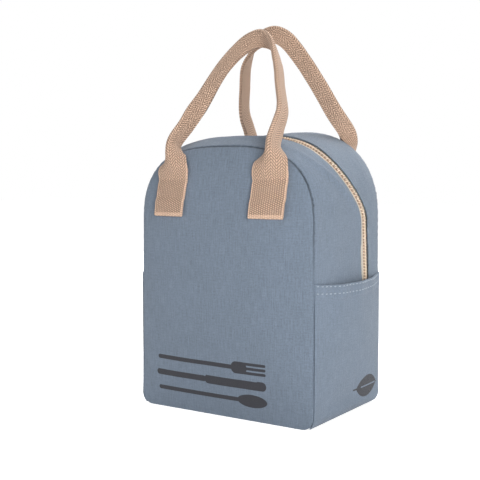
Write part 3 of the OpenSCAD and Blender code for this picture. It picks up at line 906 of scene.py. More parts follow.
def coons(count_u, count_v):
    """A net of points in x and z that fills the seam's outline, its four sides on the outline."""
    outline = whole_outline(2400)[0]
    turn = np.unwrap(np.arctan2(outline[:, 1] - MIDDLE_Z, outline[:, 0]))
    reach = sizes().width / 2
    low = math.atan2(4 * MM - MIDDLE_Z, reach - 4 * MM)
    high = math.atan2(236 * MM - MIDDLE_Z, reach - 6 * MM)
    marks = [low, high, math.pi - high, math.pi - low, low + 2 * math.pi]
    loop = np.concatenate([outline[:-1], outline[:-1]])
    turns = np.concatenate([turn[:-1], turn[:-1] + 2 * math.pi])
    sides = []
    for start, end, count in zip(marks, marks[1:], (count_v, count_u, count_v, count_u)):
        piece = loop[(turns >= start) & (turns <= end)]
        sides.append(resampled(piece, count, crowded(count))[0])
    right, top, left, bottom = sides[0], sides[1][::-1], sides[2][::-1], sides[3]
    low_left, low_right = (bottom[0] + left[0]) / 2, (bottom[-1] + right[0]) / 2
    high_left, high_right = (top[0] + left[-1]) / 2, (top[-1] + right[-1]) / 2
    u = crowded(count_u)[None, :, None]
    v = crowded(count_v)[:, None, None]
    edges = (1 - v) * bottom[None] + v * top[None] + (1 - u) * left[:, None] + u * right[:, None]
    lower = (1 - u) * (1 - v) * low_left + u * (1 - v) * low_right
    return edges - (lower + (1 - u) * v * high_left + u * v * high_right)


def pillow(x, z):
    """How far a panel stands out of its seam."""
    s = sizes()
    u = np.clip(np.abs(x) / half_at(z), 0, 1)
    return s.panel_swell * (1 - u**3) * (1 - np.abs(2 * z / s.height - 1) ** 4)


def seam_distance(net):
    """For each point its distance to the seam, and the seam's length and normal there."""
    outline, normals, along = whole_outline(700)
    flat = net.reshape(-1, 2)
    near, which = np.empty(len(flat)), np.empty(len(flat), int)
    for start in range(0, len(flat), 4000):
        part = slice(start, start + 4000)
        gap = np.linalg.norm(flat[part, None] - outline[None], axis=2)
        which[part] = gap.argmin(1)
        near[part] = gap.min(1)
    shape = net.shape[:2]
    return near.reshape(shape), along[which].reshape(shape), normals[which].reshape(net.shape)


def panel_cloth(name, side, material, nodes, carrier):
    """The front (side -1) or back (side 1) panel: a soft pillow with puckered edges."""
    s = sizes()
    net = coons(120, 150)
    near, along, away = seam_distance(net)
    x, z = net[..., 0], net[..., 1]
    here = np.stack([x, 0 * x + side, z], -1)
    dents = 1.0 * MM * ripple(here, 0.17, 3 + side) + 0.22 * MM * ripple(here, 0.05, 8 + side)
    dents = dents * smooth(near / (28 * MM))
    sink = groove(near, z, PANEL_ROLL)
    out = pillow(x, z) + dents + puckers(here, along, near, 0.22 * MM, 2.4, 5) - sink
    pulled = net - PANEL_PULL * away * sink[..., None]
    up = pulled[..., 1] + lift(z, side * s.depth / 2)
    grid = np.stack([pulled[..., 0], side * (s.depth / 2 + out), np.maximum(up, PANEL_LIFT)], -1)
    # deep carries the painted shade of the seam's crease into the cloth's colour.
    obj = grid_object(name, grid, net, facing(0, side, 0), deep=crease_shade(near, z, PANEL_SHADE_REACH))
    remember(name, obj)
    thicken(obj, s.canvas)
    finish_piece(obj, material, nodes, carrier)
    panel_area()


class BAG_OT_panels(bpy.types.Operator):
    """Build the front and back canvas panels"""

    bl_idname = "bag.panels"
    bl_label = "Front and Back Panels"

    def execute(self, context):
        front_nodes = ("front_panel_lower", "front_panel_upper")
        panel_cloth("front_canvas", -1, "front", front_nodes, mouth_bend())
        panel_cloth("back_canvas", 1, "canvas", ("back_panel",), "bag")
        return {"FINISHED"}


def strip_columns(low, high, count, low_tight, high_tight):
    """Columns from low to high on each row, closer together near both ends."""
    t = np.linspace(0, 1, count)
    weight = 0.35 + np.clip(np.minimum(t * low_tight, (1 - t) * high_tight), 0, 1)
    steps = np.concatenate([[0], np.cumsum((weight[1:] + weight[:-1]) / 2)])
    return low[:, None] + (high - low)[:, None] * (steps / steps[-1])[None]


def gusset_cloth(name, outline, y, depth, seed):
    """A piece of the gusset: stations round the seam by columns of depth position."""
    points, normals, along = outline
    here = np.stack([np.broadcast_to(points[:, None, k], y.shape) for k in (0, 1)] + [y], -1)
    seam = sizes().depth / 2 - np.abs(y)
    dents = 0.75 * MM * ripple(here, 0.11, seed) + 0.2 * MM * ripple(here, 0.035, seed + 1)
    dents = dents * smooth(seam / (18 * MM))
    pucker = puckers(here, along[:, None], seam, 0.2 * MM, 2.0, seed + 2)
    flat_base = np.clip(-normals[:, None, 1], 0, 1)
    grid = gusset(points, normals, y, depth - (dents + pucker) * (1 - flat_base))
    grid[..., 2] = np.maximum(grid[..., 2], GUSSET_LIFT)
    # Painted shade for the seam's crease, passed on as the deep attribute.
    deep = crease_shade(seam, here[..., 1], GUSSET_SHADE_REACH)
    return grid_object(name, grid, cloth_uv(y, along), from_axis, deep=deep)


class BAG_OT_sides(bpy.types.Operator):
    """Build the base and the two canvas strips beside the zipper"""

    bl_idname = "bag.sides"
    bl_label = "Base and Zipper Strips"

    def cloth(self, name, outline, y, depth, seed, nodes, carrier, wide, rests_on):
        obj = gusset_cloth(name, outline, y, depth, seed)
        remember(name, obj)
        thicken(obj, sizes().canvas)
        finish_piece(obj, "canvas", nodes, carrier)

    def ridge(self, level, y, edge):
        """The fold's soft crest on the front strip, which slants forwards as it climbs."""
        crest = np.minimum(edge[:, None] - 3 * MM, 0.8 * MM - 1.47 * (level - 210.8 * MM))
        lowest, soft = -52 * MM, 7 * MM
        crest = soft * np.log1p(np.exp((crest - lowest) / soft)) + lowest
        width = np.where(y < crest, 7 * MM, 2.6 * MM)
        return 2.1 * MM * ramp(level, 200 * MM, 12 * MM) * bell(y - crest, width)

    def execute(self, context):
        s, t = sizes(), trim()
        half = s.depth / 2
        below = s.pocket_top - 6 * MM

        outline = lower_outline(below, 210)
        ends = np.full(210, half)
        y = strip_columns(-ends, ends, 70, 6, 6)
        nodes = ("base_gusset",)
        self.cloth("base_canvas", outline, y, 0.0, 21, nodes, "bag", s.depth, "back_canvas")

        outline = upper_outline(below + 0.2 * MM, 330)
        middle = zip_y(outline[0][:, 1])
        ends = np.full(330, half)
        edge = middle - t.reveal_front
        y = strip_columns(-ends, edge, 54, 6, 9)
        to_edge = edge[:, None] - y
        dip = 1.1 * MM * (1 - smooth(to_edge / (3.4 * MM)))
        seam_line = 0.3 * MM * bell(to_edge - 2.9 * MM, 0.6 * MM)
        depth = dip - self.ridge(outline[0][:, None, 1], y, edge) + seam_line
        nodes, wide = ("zip_gusset_front",), float((edge + half).mean())
        bend = mouth_bend()
        self.cloth("front_strip", outline, y, depth, 31, nodes, bend, wide, "front_canvas")

        edge = middle + t.reveal_back
        y = strip_columns(edge, ends, 48, 9, 6)
        to_edge = y - edge[:, None]
        proud = 1.9 * MM * (1 - smooth(to_edge / (6 * MM)))
        depth = 0.35 * MM * bell(to_edge - 3.0 * MM, 0.6 * MM) - proud
        nodes, wide = ("zip_gusset_back",), float((half - edge).mean())
        self.cloth("back_strip", outline, y, depth, 41, nodes, "bag", wide, "back_canvas")
        return {"FINISHED"}


# ------------------------------------------------------------ side pockets

POCKET_LOW = 14 * MM
POCKET_GAPE = 6.5 * MM
POCKET_SAG = 3 * MM
POCKET_GAP = 0.3 * MM
POCKET_CLOTH = 0.85
HEM_CLOTH = 0.55
HEM_LINES = (0.05, 0.62)


def pocket_face(y, t):
    """The pocket's outer face at a share t of its height: distance out, and height."""
    s = sizes()
    level = mix(POCKET_LOW, s.pocket_top, t)
    gape = POCKET_GAPE * (1 - (2 * y / s.depth) ** 2) ** 2 * smooth((t - 0.25) / 0.75)
    outwards = np.broadcast_to(np.array([1.0, 0.0]), y.shape + (2,))
    side = swell(level, outwards) * across(y)
    belly = 2.2 * MM * across(y) * smooth(t / 0.3) * (1 - smooth((t - 0.45) / 0.5))
    out = s.width / 2 + side + POCKET_GAP + gape + belly + s.canvas
    return out, level - POCKET_SAG * np.clip(t, 0, 1) ** 2 * across(y)


def hem_line(y, drop):
    """Height of a line of hem stitches."""
    s = sizes()
    return s.pocket_top - s.hem * drop - POCKET_SAG * across(y)


def pocket_rows(y, hem_t):
    """Distance out and height of the pocket's rows, with the counts up to its face and its edge."""
    s = sizes()
    reach = s.base_radius + s.canvas + POCKET_GAP
    rows = []
    for angle in np.radians(np.linspace(-52, 0, 12)):
        x = s.width / 2 - s.base_radius + reach * math.cos(angle)
        rows.append((np.full(len(y), x), np.full(len(y), s.base_radius + reach * math.sin(angle))))
    low_rows = len(rows)
    for t in (*np.linspace(0.0, hem_t - 0.03, 60), *np.linspace(hem_t - 0.02, 1, 26)):
        out, z = pocket_face(y, t)
        doubled = smooth((t - hem_t + 0.012) / 0.012) * (1 - (2 * y / s.depth) ** 8)
        rows.append((out + s.canvas * HEM_CLOTH * doubled, z))
    face_rows = len(rows)
    top_out, top_z = rows[-1]
    turn = s.canvas * 0.95
    for angle in np.radians([35, 70, 110, 145, 180]):
        rows.append((top_out - turn * (1 - math.cos(angle)), top_z + turn * math.sin(angle)))
    inner = rows[-1][0]
    for drop in np.linspace(0.1, 1, 12):
        rows.append((inner - 0.15 * MM * drop, top_z - s.hem * drop))
    return np.array(rows), low_rows, face_rows


def pocket_cloth(side, word, material):
    """A side pocket: its face from the base seam up to the turned hem and down inside it."""
    s = sizes()
    wide = s.depth / 2 - 0.7 * MM
    columns = strip_columns(np.array([-wide]), np.array([wide]), 76, 6, 6)[0]
    rows, low_rows, face_rows = pocket_rows(columns, 1 - s.hem / (s.pocket_top - POCKET_LOW))
    x, z = rows[:, 0], rows[:, 1]
    y = np.broadcast_to(columns, x.shape)
    here = np.stack([x * side, y, z], -1)
    face = np.arange(len(rows))[:, None] < face_rows
    seam = s.depth / 2 - np.abs(y)
    upright = ramp(z, 6 * MM, 20 * MM)
    dents = 0.8 * MM * ripple(here, 0.12, 50 + side) + 0.25 * MM * ripple(here, 0.04, 53 + side)
    dents = dents * smooth(seam / (16 * MM)) * upright
    wave = np.sin(y / (34 * MM) * 2 * math.pi + side) * ramp(z, 100 * MM, 37 * MM)
    pull_in = groove(seam, z, GUSSET_ROLL)
    x = x + (dents + 0.6 * MM * wave * smooth(seam / (20 * MM))) - pull_in * upright
    for drop in HEM_LINES:
        x = x - 0.22 * MM * bell(z - hem_line(y, drop), 0.8 * MM) * face
    y = y - np.sign(y) * pull_in * 0.6
    grid = np.stack([x * side, y, z], -1)
    along = lengths(grid[:, len(columns) // 2])
    uv = cloth_uv(side * y, along - along[low_rows] + POCKET_LOW)
    name = f"pocket_{word}_canvas"
    obj = grid_object(name, grid, uv, facing(side, 0, 0))
    remember(name, obj)
    thicken(obj, s.canvas * POCKET_CLOTH)
    finish_piece(obj, material, (f"pocket_{word}",), "bag")
    spots = []
    last = int((wide - 2.5 * MM) / s.stitch)
    for drop in HEM_LINES:
        for y0 in s.stitch * np.arange(-last, last + 1):
            place = (side * OUTSIDE, float(y0), float(hem_line(y0, drop)))
            spots.append((place, (-side, 0, 0), (0, 1, 0)))
    threads = (f"pocket_thread_{word}",)
    stitches(f"stitches_pocket_{word}", name, spots, (3.2, 0.55), threads, "bag", "thread")


def stitches(name, surface, spots, size, nodes, carrier, material):
    """Short raised stitches on a kept surface, of a length and radius in millimetres.

    Each spot has a point, the way onto the cloth and the seam's way.
    """
    long, radius = (k * MM for k in size)
    profile = ((-0.5, 0.25, -0.35), (-0.3, 0.85, 0.15), (0.0, 1.0, 0.4))
    profile += ((0.3, 0.85, 0.15), (0.5, 0.25, -0.35))
    turns = 2 * math.pi * np.arange(6)[:, None] / 6
    rings = []
    for place, way, along in spots:
        spot, normal = on_surface(surface, place, way)
        t = np.array(along, float)
        t -= normal * (t @ normal)
        t /= np.linalg.norm(t)
        around = np.cos(turns) * normal + np.sin(turns) * np.cross(normal, t) * 1.1
        for share, thick, rise in profile:
            middle = spot + t * share * long + normal * rise * radius
            rings.append(middle + thick * radius * around)
    rings = np.array(rings).reshape(len(spots), len(profile), len(turns), 3)
    finish_piece(tubes(name, rings, 80), material, nodes, carrier)


class BAG_OT_pockets(bpy.types.Operator):
    """Build the two side pockets and their hem stitches"""

    bl_idname = "bag.pockets"
    bl_label = "Side Pockets"

    def execute(self, context):
        pocket_cloth(1, "right", "pocket")
        pocket_cloth(-1, "left", "canvas")
        return {"FINISHED"}


# ----------------------------------------------------------------- zipper

TAPE_DEPTH = 1.45 * MM
TAPE_THICK = 0.6 * MM
TAPE_GAP = 0.5 * MM
TOPSTITCH = 0.54
TOOTH_SIDES = 7
# A tooth's rings: reach from the zipper's middle and rise over the tape, in millimetres, size,
# and how far the ring's round leans towards the zipper's middle.
TOOTH = (
    (-2.8, 0.1, 0.6, 1.0),
    (-2.65, 0.9, 0.9, 0.0),
    (-1.9, 1.7, 1.0, 0.0),
    (-0.6, 1.9, 1.05, 0.0),
    (0.45, 1.6, 1.1, 0.0),
    (0.9, 0.8, 0.6, 1.0),
)


def at_length(place, along, *tables):
    """Rows of tables between their stations, at a length along the seam."""
    return [np.array([np.interp(place, along, rows[:, k]) for k in (0, 1)]) for rows in tables]


class BAG_OT_zipper(bpy.types.Operator):
    """Build the zipper's tapes, interlocked teeth and topstitching"""

    bl_idname = "bag.zipper"
    bl_label = "Zipper"

    def tape(self, name, side, nodes, carrier):
        t = trim()
        points, normals, along = upper_outline(sizes().pocket_top - 5 * MM, 300)
        middle = zip_y(points[:, 1])
        y = strip_columns(middle + side * TAPE_GAP, middle + side * t.tape, 14, 3, 3)
        crossways = y - middle[:, None]
        ridge = 0.35 * MM * bell(np.abs(crossways) - 3.1 * MM, 0.35 * MM)
        grid = gusset(points, normals, y, TAPE_DEPTH - ridge)
        obj = grid_object(name, grid, cloth_uv(crossways, along), from_axis)
        thicken(obj, TAPE_THICK)
        finish_piece(obj, "tape", nodes, carrier)

    def teeth(self, name, side, nodes, carrier):
        """Rounded loops, each from the tape up and over to the zipper's middle."""
        pitch = trim().tooth_pitch
        points, normals, along = upper_outline(sizes().pocket_top - 4 * MM, 2400)
        count = int(along[-1] / pitch)
        start = 0.25 if side > 0 else 0.75
        wide = (0.78 if side < 0 else 0.55) * MM
        a = np.arange(TOOTH_SIDES)[:, None] * 2 * math.pi / TOOTH_SIDES
        rings = []
        for k in range(count):
            here, n = at_length((k + start) * pitch, along, points, normals)
            n /= np.linalg.norm(n)
            middle = float(zip_y(here[1]))
            way, up = np.array([-n[1], 0, n[0]]), np.array([n[0], 0, n[1]])
            for reach, high, size, lean in TOOTH:
                y = np.array([[middle - side * reach * MM]])
                centre = gusset(here[None], n[None], y, TAPE_DEPTH - high * MM)[0, 0]
                tall = up * (1 - 0.5 * lean) + np.array([0, 0.5 * side * lean, 0])
                ring = 0.5 * MM * np.cos(a) * tall + wide * np.sin(a) * way
                rings.append(centre + size * ring)
        rings = np.array(rings).reshape(count, len(TOOTH), TOOTH_SIDES, 3)
        finish_piece(tubes(name, rings, 70), "coil", nodes, carrier)

    def topstitch(self, word, side, offset, carrier):
        points, normals, along = upper_outline(sizes().pocket_top + 2 * MM, 1200)
        pitch = sizes().stitch * TOPSTITCH
        spots = []
        for k in range(int(along[-1] / pitch)):
            p, n = at_length((k + 0.5) * pitch, along, points, normals)
            y = np.array([[float(zip_y(p[1])) + side * offset]])
            place = gusset(p[None], n[None], y, -1.0 * MM)[0, 0]
            spots.append((tuple(place), (-n[0], 0, -n[1]), (-n[1], 0, n[0])))
        size, surface = (2.3, 0.24), f"{word}_strip"
        stitches(f"topstitch_{word}", surface, spots, size, (), carrier, "seam_thread")

    def execute(self, context):
        t, bend = trim(), mouth_bend()
        halves = (("front", -1, bend), ("back", 1, "bag"))
        for word, side, carrier in halves:
            self.tape(f"tape_{word}", side, (f"zip_tape_{word}",), carrier)
        for word, side, carrier in halves:
            self.teeth(f"teeth_{word}", side, (f"zip_coil_{word}",), carrier)
        self.topstitch("front", -1, t.reveal_front + 2.9 * MM, bend)
        self.topstitch("back", 1, t.reveal_back + 3.0 * MM, "bag")
        return {"FINISHED"}


# ---------------------------------------------------------------- handles

# Stations along a handle: share of the tab's distance from the bag's middle, distance in from the
# tab's face and rise above the stitch line in millimetres, turn of the fold's edge in degrees from
# the loop's outer side, and how far the webbing is folded, from 0 to 1.
FRONT_LOOP = (
    (-0.966, -1.1, 0, -90, 0.0),
    (-0.966, -1.9, 8, -88, 0.12),
    (-0.975, -1.4, 19, -84, 0.44),
    (-1.015, 5, 36.5, -88, 0.95),
    (-0.985, 24, 56, -66, 1.0),
    (-0.81, 39, 82, -8, 1.0),
    (-0.59, 55, 114, 12, 1.0),
    (-0.29, 66, 136, 12, 0.98),
    (0.02, 70, 143.5, -10, 0.96),
    (0.30, 67, 137.5, -52, 0.98),
    (0.53, 57, 118, -74, 1.0),
    (0.71, 45, 93, -76, 1.0),
    (0.88, 33, 69, -80, 0.98),
    (0.95, 17.5, 50, -86, 0.98),
    (1, 3.2, 34, -88, 0.87),
    (1.02, -1.6, 19, -84, 0.41),
    (1, -1.9, 8, -87, 0.16),
    (1, -1.1, 0, -90, 0.0),
)
BACK_LOOP = (
    (-1, -1.1, 0, 90, 0.0),
    (-1, -1.9, 8, 90, 0.06),
    (-1.035, -3.2, 20, 90, 0.5),
    (-1.05, -3.6, 35.5, 90, 0.92),
    (-1.05, 5, 50.5, 88, 0.98),
    (-1.02, 17.5, 68.5, 86, 1.0),
    (-0.93, 25, 93.5, 85, 1.0),
    (-0.81, 32, 118.5, 80, 1.0),
    (-0.53, 38, 139.5, 40, 0.98),
    (-0.17, 41, 147, 0, 0.97),
    (0.1, 39, 142, 0, 0.98),
    (0.34, 34, 125, 0, 1.0),
    (0.66, 26, 95, 0, 1.0),
    (0.9, 16, 65.5, 6, 0.98),
    (1.05, -1.4, 40.5, 38, 0.9),
    (1.05, -3.6, 22, 80, 0.5),
    (1, -1.9, 8, 90, 0.05),
    (1, -1.1, 0, 90, 0.0),
)


TAB_FOLD = 0.9 * MM
TAB_TURN = 13 * MM
TAB_STITCH = 3.2 * MM
WEBBING_GAP = 0.3 * MM
WEBBING_COLUMNS = 31
LOOP_ROWS = 221


def through(stations, s):
    """A smooth curve through stations, at real-valued places along the list."""
    p = np.array(stations, float)
    last = len(p) - 1
    i = np.minimum(last - 1, np.floor(s).astype(int))
    t = (s - i)[:, None]
    p0, p1, p2, p3 = p[np.maximum(0, i - 1)], p[i], p[i + 1], p[np.minimum(last, i + 2)]
    square = 2 * p0 - 5 * p1 + 4 * p2 - p3
    return 0.5 * (2 * p1 + t * (p2 - p0) + t * t * square + t**3 * (3 * p1 - p0 - 3 * p2 + p3))


def tab_lean(centre):
    """How far a tab leans inwards at its top, as a slope."""
    return 0.12 if centre < 0 else 0.08


def fold_section(fold, across_s, radius):
    """The webbing's cross-section, curled round its middle: towards the fold's edge, sideways."""
    fine = np.linspace(-trim().webbing / 2, trim().webbing / 2, 241)
    reach = radius * math.pi / 2
    core = np.clip(fine / reach, -1, 1)
    bend = np.sin(core * math.pi / 2) * 0.35 + core * 0.65
    flare = 0.10 * fold * np.sign(fine) * smooth((np.abs(fine) - reach) / (15 * MM))
    angle = math.pi / 2 + math.pi / 2 * fold * bend + flare
    step = np.diff(fine, prepend=fine[0])
    a, b = np.cumsum(np.cos(angle) * step), np.cumsum(np.sin(angle) * step)
    a -= (a.min() + a.max()) / 2
    b -= (b.min() + b.max()) / 2
    return np.interp(across_s, fine, a), np.interp(across_s, fine, b)


def loop_grid(stations, cross, sewn_z):
    """The handle's rows: the webbing folded lengthwise and turned along the loop."""
    last = len(stations) - 1
    places = np.linspace(0, last, LOOP_ROWS)
    ahead = through(stations, np.minimum(places + 0.04, last))
    along = (ahead - through(stations, np.maximum(places - 0.04, 0)))[:, :3]
    along /= np.linalg.norm(along, axis=1)[:, None]
    along[0], along[-1] = (0, 0, 1), (0, 0, -1)
    rows = []
    for p, w in zip(through(stations, places), along):
        deep = np.array([0, 1.0, 0]) - w[1] * w
        deep /= np.linalg.norm(deep)
        out = np.cross(w, deep)
        turn = math.radians(p[3])
        edge = math.cos(turn) * out + math.sin(turn) * deep
        thin = math.cos(turn) * deep - math.sin(turn) * out
        fold = float(np.clip(p[4], 0, 1))
        a, b = fold_section(fold, cross, mix(9 * MM, 1.75 * MM, smooth(fold / 0.8)))
        b = b * (1 + 0.05 * bell(p[2] - sewn_z - 9 * MM, 6 * MM))
        rows.append(p[None, :3] + a[:, None] * edge + b[:, None] * thin)
    return np.array(rows)


def tab_grid(centre, side, cross, lifted, edge):
    """A tab's rows, from its turned-under end round the bottom and up to the stitch line."""
    t = trim()
    low, under = t.tab_low + TAB_FOLD, t.webbing_thick / 2 + 0.25 * MM
    levels = [(z, under) for z in np.linspace(t.tab_low + TAB_TURN, low, 8)]
    for angle in np.radians([-60, -30, 0, 30, 60]):
        high = under + TAB_FOLD + TAB_FOLD * math.sin(angle)
        levels.append((low - TAB_FOLD * math.cos(angle), high))
    turned_rows = len(levels)
    for z in np.linspace(low, t.tab_top - 0.5 * MM, 22):
        high = 2 - 1.6 * ramp(z, t.tab_low + TAB_TURN, 6 * MM)
        levels.append((z, under + TAB_FOLD * high))
    rows = []
    for k, (z, high) in enumerate(levels):
        slant = tab_lean(centre) * (z - t.tab_top)
        row = []
        for dx in cross * (0.93 + 0.07 * smooth((k - 8) / 4)):
            place = (centre + dx + slant, side * OUTSIDE, z + lifted)
            spot, _ = on_surface(f"{FACES[side]}_canvas", place, (0, -side, 0))
            row.append((place[0], spot[1] + side * high, place[2]))
        rows.append(row)
    rows = np.array(rows)
    pressed = 0.5 * MM * bell(rows[turned_rows:, :, 2] - (t.tab_top - 1.2 * MM + lifted), 1.4 * MM)
    rows[turned_rows:, :, 1] -= side * pressed
    start = rows[-1, 0, 0]
    return rows[:, ::-1] if abs(start - edge[0, 0]) > abs(start - edge[-1, 0]) else rows


def tab_spots(centre, side, lifted):
    """Places of a tab's stitches: two lines across it and one along each side."""
    t = trim()
    low, high = t.tab_low + 2.5 * MM, t.tab_top - 1.2 * MM
    reach = t.webbing / 2 - 3 * MM
    rows = range(1, int((high - low) / TAB_STITCH))
    lines = [(k * TAB_STITCH, z, (1, 0, 0)) for z in (low + 0.5 * MM, high) for k in range(-5, 6)]
    lines += [(x, low + k * TAB_STITCH, (0, 0, 1)) for x in (-reach, reach) for k in rows]
    spots = []
    for x, z, way in lines:
        place = centre + x + tab_lean(centre) * (z - t.tab_top)
        spots.append(((place, side * OUTSIDE, z + lifted), (0, -side, 0), way))
    return spots


def handle_webbing(side, loop, centres, lifted, carrier):
    """One length of webbing: a tab with its end turned under, the folded loop, another tab."""
    t, word = trim(), FACES[side]
    thick = t.webbing_thick
    cross = np.linspace(-t.webbing / 2, t.webbing / 2, WEBBING_COLUMNS)
    stands = float(pillow(t.tab_x, np.array(t.tab_top))) + WEBBING_GAP + thick / 2
    face = sizes().depth / 2 + stands
    x, inwards, rise, turn, fold = np.array(loop, float).T
    up = t.tab_top + lifted + (rise + 0.3) * MM
    stations = np.stack([x * t.tab_x, side * (face - inwards * MM), up, turn, fold], 1)
    rows = loop_grid(stations, cross, t.tab_top + lifted)
    first = tab_grid(centres[0], side, cross, lifted, rows[0])
    last = tab_grid(centres[1], side, cross, lifted, rows[-1])
    end = len(rows) - 1
    for tab, places in ((first, range(0, 30)), (last, range(end, end - 30, -1))):
        root = rows[places[0]].copy()
        for i in places:
            climb = abs(rows[i][:, 2].mean() - root[:, 2].mean())
            keep = 1 - smooth(climb / (14 * MM))
            rows[i] += (tab[-1] - root) * keep * np.array([1, 1, 0])
    grid = np.concatenate([first, rows[1:-1], last[::-1]])
    wander = 0.25 * MM * ripple(grid, 0.05, 71 + side) * ramp(grid[..., 2], t.tab_top, 25 * MM)
    grid[..., :2] += np.stack([wander * 0.6, wander], -1)
    along = lengths(grid[:, WEBBING_COLUMNS // 2])
    name = f"webbing_{word}"
    uv = cloth_uv(cross, np.minimum(along, along[-1] - along))
    obj = grid_object(name, grid, uv, facing(0, side, 0))
    remember(name, obj)
    add_wall(obj, thick, 0)
    add_rim(obj, 0.35 * MM).angle_limit = math.radians(60)
    apply_modifiers(obj)
    smooth_shade(obj, 60)
    finish_piece(obj, "webbing", (f"handle_{word}", f"handle_tabs_{word}"), carrier)
    spots = [spot for centre in centres for spot in tab_spots(centre, side, lifted)]
    thread = (f"handle_thread_{word}",)
    stitches(f"stitches_{name}", name, spots, (2.1, 0.5), thread, carrier[0], "tan_thread")


class BAG_OT_handles(bpy.types.Operator):
    """Build the two webbing handles, each in one length from tab to tab"""

    bl_idname = "bag.handles"
    bl_label = "Webbing Handles"

    def execute(self, context):
        t = trim()
        half = sizes().depth / 2
        front, back = (float(lift(t.tab_top, side * half)) for side in (-1, 1))
        start, end = t.tab_top + 0.5 * MM, t.tab_top + 12 * MM
        bend = ("front_flap", "front_handle", (0, 0, start), (0, 0, end))
        handle_webbing(-1, FRONT_LOOP, (2 * MM - t.tab_x, t.tab_x), front, bend)
        bend = ("bag", "back_handle", (0, 0, start + back), (0, 0, end + back))
        handle_webbing(1, BACK_LOOP, (-t.tab_x, t.tab_x), back, bend)
        return {"FINISHED"}


# ----------------------------------------------------------------- inside

LINING_INSET = 2.6 * MM
LINING_DEPTH = 2.5 * MM
LINING_THICK = 0.7 * MM
BINDING_WIDE = 7 * MM
BINDING_THICK = 1.4 * MM
INNER_LOW = 70 * MM
INNER_HIGH = 165 * MM
INNER_WIDE = 140 * MM


class BAG_OT_inside(bpy.types.Operator):
    """Build the lining, the inner pocket and the bound seams"""

    bl_idname = "bag.inside"
    bl_label = "Lining and Bindings"

    def wall(self, name, side, nodes, carrier):
        s = sizes()
        net = coons(70, 90)
        near, _, away = seam_distance(net)
        x, z = net[..., 0], net[..., 1]
        here = np.stack([x, 0 * x + side, z], -1)
        free = smooth(near / (20 * MM))
        belly = 2.2 * MM * free + 1.0 * MM * ripple(here, 0.09, 90 + side) * free
        y = side * (s.depth / 2 - 2.2 * MM + belly * 0.5)
        pulled = net - away * (np.clip(1 - near / (10 * MM), 0, 1) * LINING_INSET)[..., None]
        up = pulled[..., 1] + lift(z, side * s.depth / 2)
        grid = np.stack([pulled[..., 0], y, up], -1)
        obj = grid_object(name, grid, net, facing(0, side, 0))
        thicken(obj, LINING_THICK)
        finish_piece(obj, "lining", nodes, carrier)
        panel_area()

    def strip(self, name, outline, low, high, nodes, carrier):
        y = strip_columns(low, high, 30, 3, 3)
        points, normals, along = outline
        grid = gusset(points, normals, y, LINING_DEPTH)
        wave = np.abs(0.35 * MM * ripple(grid, 0.07, 97))
        grid[..., ::2] -= normals[:, None] * wave[..., None]
        obj = grid_object(name, grid, cloth_uv(y, along), from_axis)
        thicken(obj, LINING_THICK)
        finish_piece(obj, "lining", nodes, carrier)

    def binding(self, name, side, nodes, carrier):
        """A flat tube of folded tape round the seam allowance."""
        points, normals, along = (rows[:-1] for rows in whole_outline(260))
        half = sizes().depth / 2
        a = np.linspace(0, 2 * math.pi, 13)[:-1]
        flat = np.sign(np.cos(a)) * np.abs(np.cos(a)) ** 0.5 * BINDING_WIDE / 2
        proud = np.sign(np.sin(a)) * np.abs(np.sin(a)) ** 0.7 * BINDING_THICK / 2
        y = side * (half - 2.4 * MM - BINDING_THICK / 2) + proud[None] + 0 * along[:, None]
        inner = 3.3 * MM + BINDING_WIDE / 2 - flat[None]
        x = points[:, None, 0] - normals[:, None, 0] * inner
        z = points[:, None, 1] - normals[:, None, 1] * inner
        grid = np.stack([x, y, z + lift(z, side * half)], -1)
        grid = np.concatenate([grid, grid[:, :1]], 1)
        uv = cloth_uv(np.linspace(0, 2.4 * BINDING_WIDE, 13), along)
        obj = grid_object(name, grid, uv, from_axis, closed=True)
        turn_outwards(obj, merged=True)
        smooth_shade(obj)
        finish_piece(obj, "binding", nodes, carrier)

    def pocket(self):
        """The open pocket sewn to the back lining."""
        t = np.linspace(0, 1, 40)[:, None]
        u = np.linspace(-1, 1, 50)[None]
        free = 1 - np.abs(u) ** 4
        x = u * INNER_WIDE / 2 + 0 * t
        z = mix(INNER_LOW, INNER_HIGH, t) + 0 * u
        here = np.stack([x, 0 * x, z], -1)
        off = 6.5 * MM * free * smooth(t / 0.6) + 0.5 * MM * np.abs(ripple(here, 0.05, 61)) * free
        y = sizes().depth / 2 - 2.6 * MM - off
        grid = np.stack([x, y, z - 2 * MM * t * (1 - u**2)], -1)
        hem = [(0, 0.5, 0.45), (0, 1, 0), (0, 1, -4), (0, 1, -8), (0, 1, -12)]
        uv = np.concatenate([grid[..., [0, 2]], np.repeat(grid[-1:, :, [0, 2]], len(hem), 0)])
        uv[-len(hem) :, :, 1] += np.array([0.5, 1, 5, 9, 13])[:, None] * MM
        grid = np.concatenate([grid, grid[-1] + np.array(hem)[:, None] * MM])
        obj = grid_object("inner_pocket_lining", grid, uv, facing(0, -1, 0))
        thicken(obj, 0.6 * MM)
        finish_piece(obj, "lining", ("inner_pocket",), "bag")

    def execute(self, context):
        s, bend = sizes(), mouth_bend()
        self.wall("front_lining", -1, ("lining_front_lower", "lining_front_upper"), bend)
        self.wall("back_lining", 1, ("lining_back",), "bag")
        side = s.depth / 2 - 3.2 * MM
        outline = lower_outline(s.pocket_top - 1 * MM, 120)
        ends = np.full(120, side)
        self.strip("base_lining", outline, -ends, ends, ("lining_base",), "bag")
        outline = upper_outline(s.pocket_top - 0.8 * MM, 200)
        ends = np.full(200, side)
        middle = zip_y(outline[0][:, 1])
        low, high = middle - 8.5 * MM, middle + 8.5 * MM
        self.strip("front_side_lining", outline, -ends, low, ("lining_gusset_front",), bend)
        self.strip("back_side_lining", outline, high, ends, ("lining_gusset_back",), "bag")
        self.binding("front_binding", -1, ("binding_front_lower", "binding_front_upper"), bend)
        self.binding("back_binding", 1, ("binding_back",), "bag")
        self.pocket()
        return {"FINISHED"}


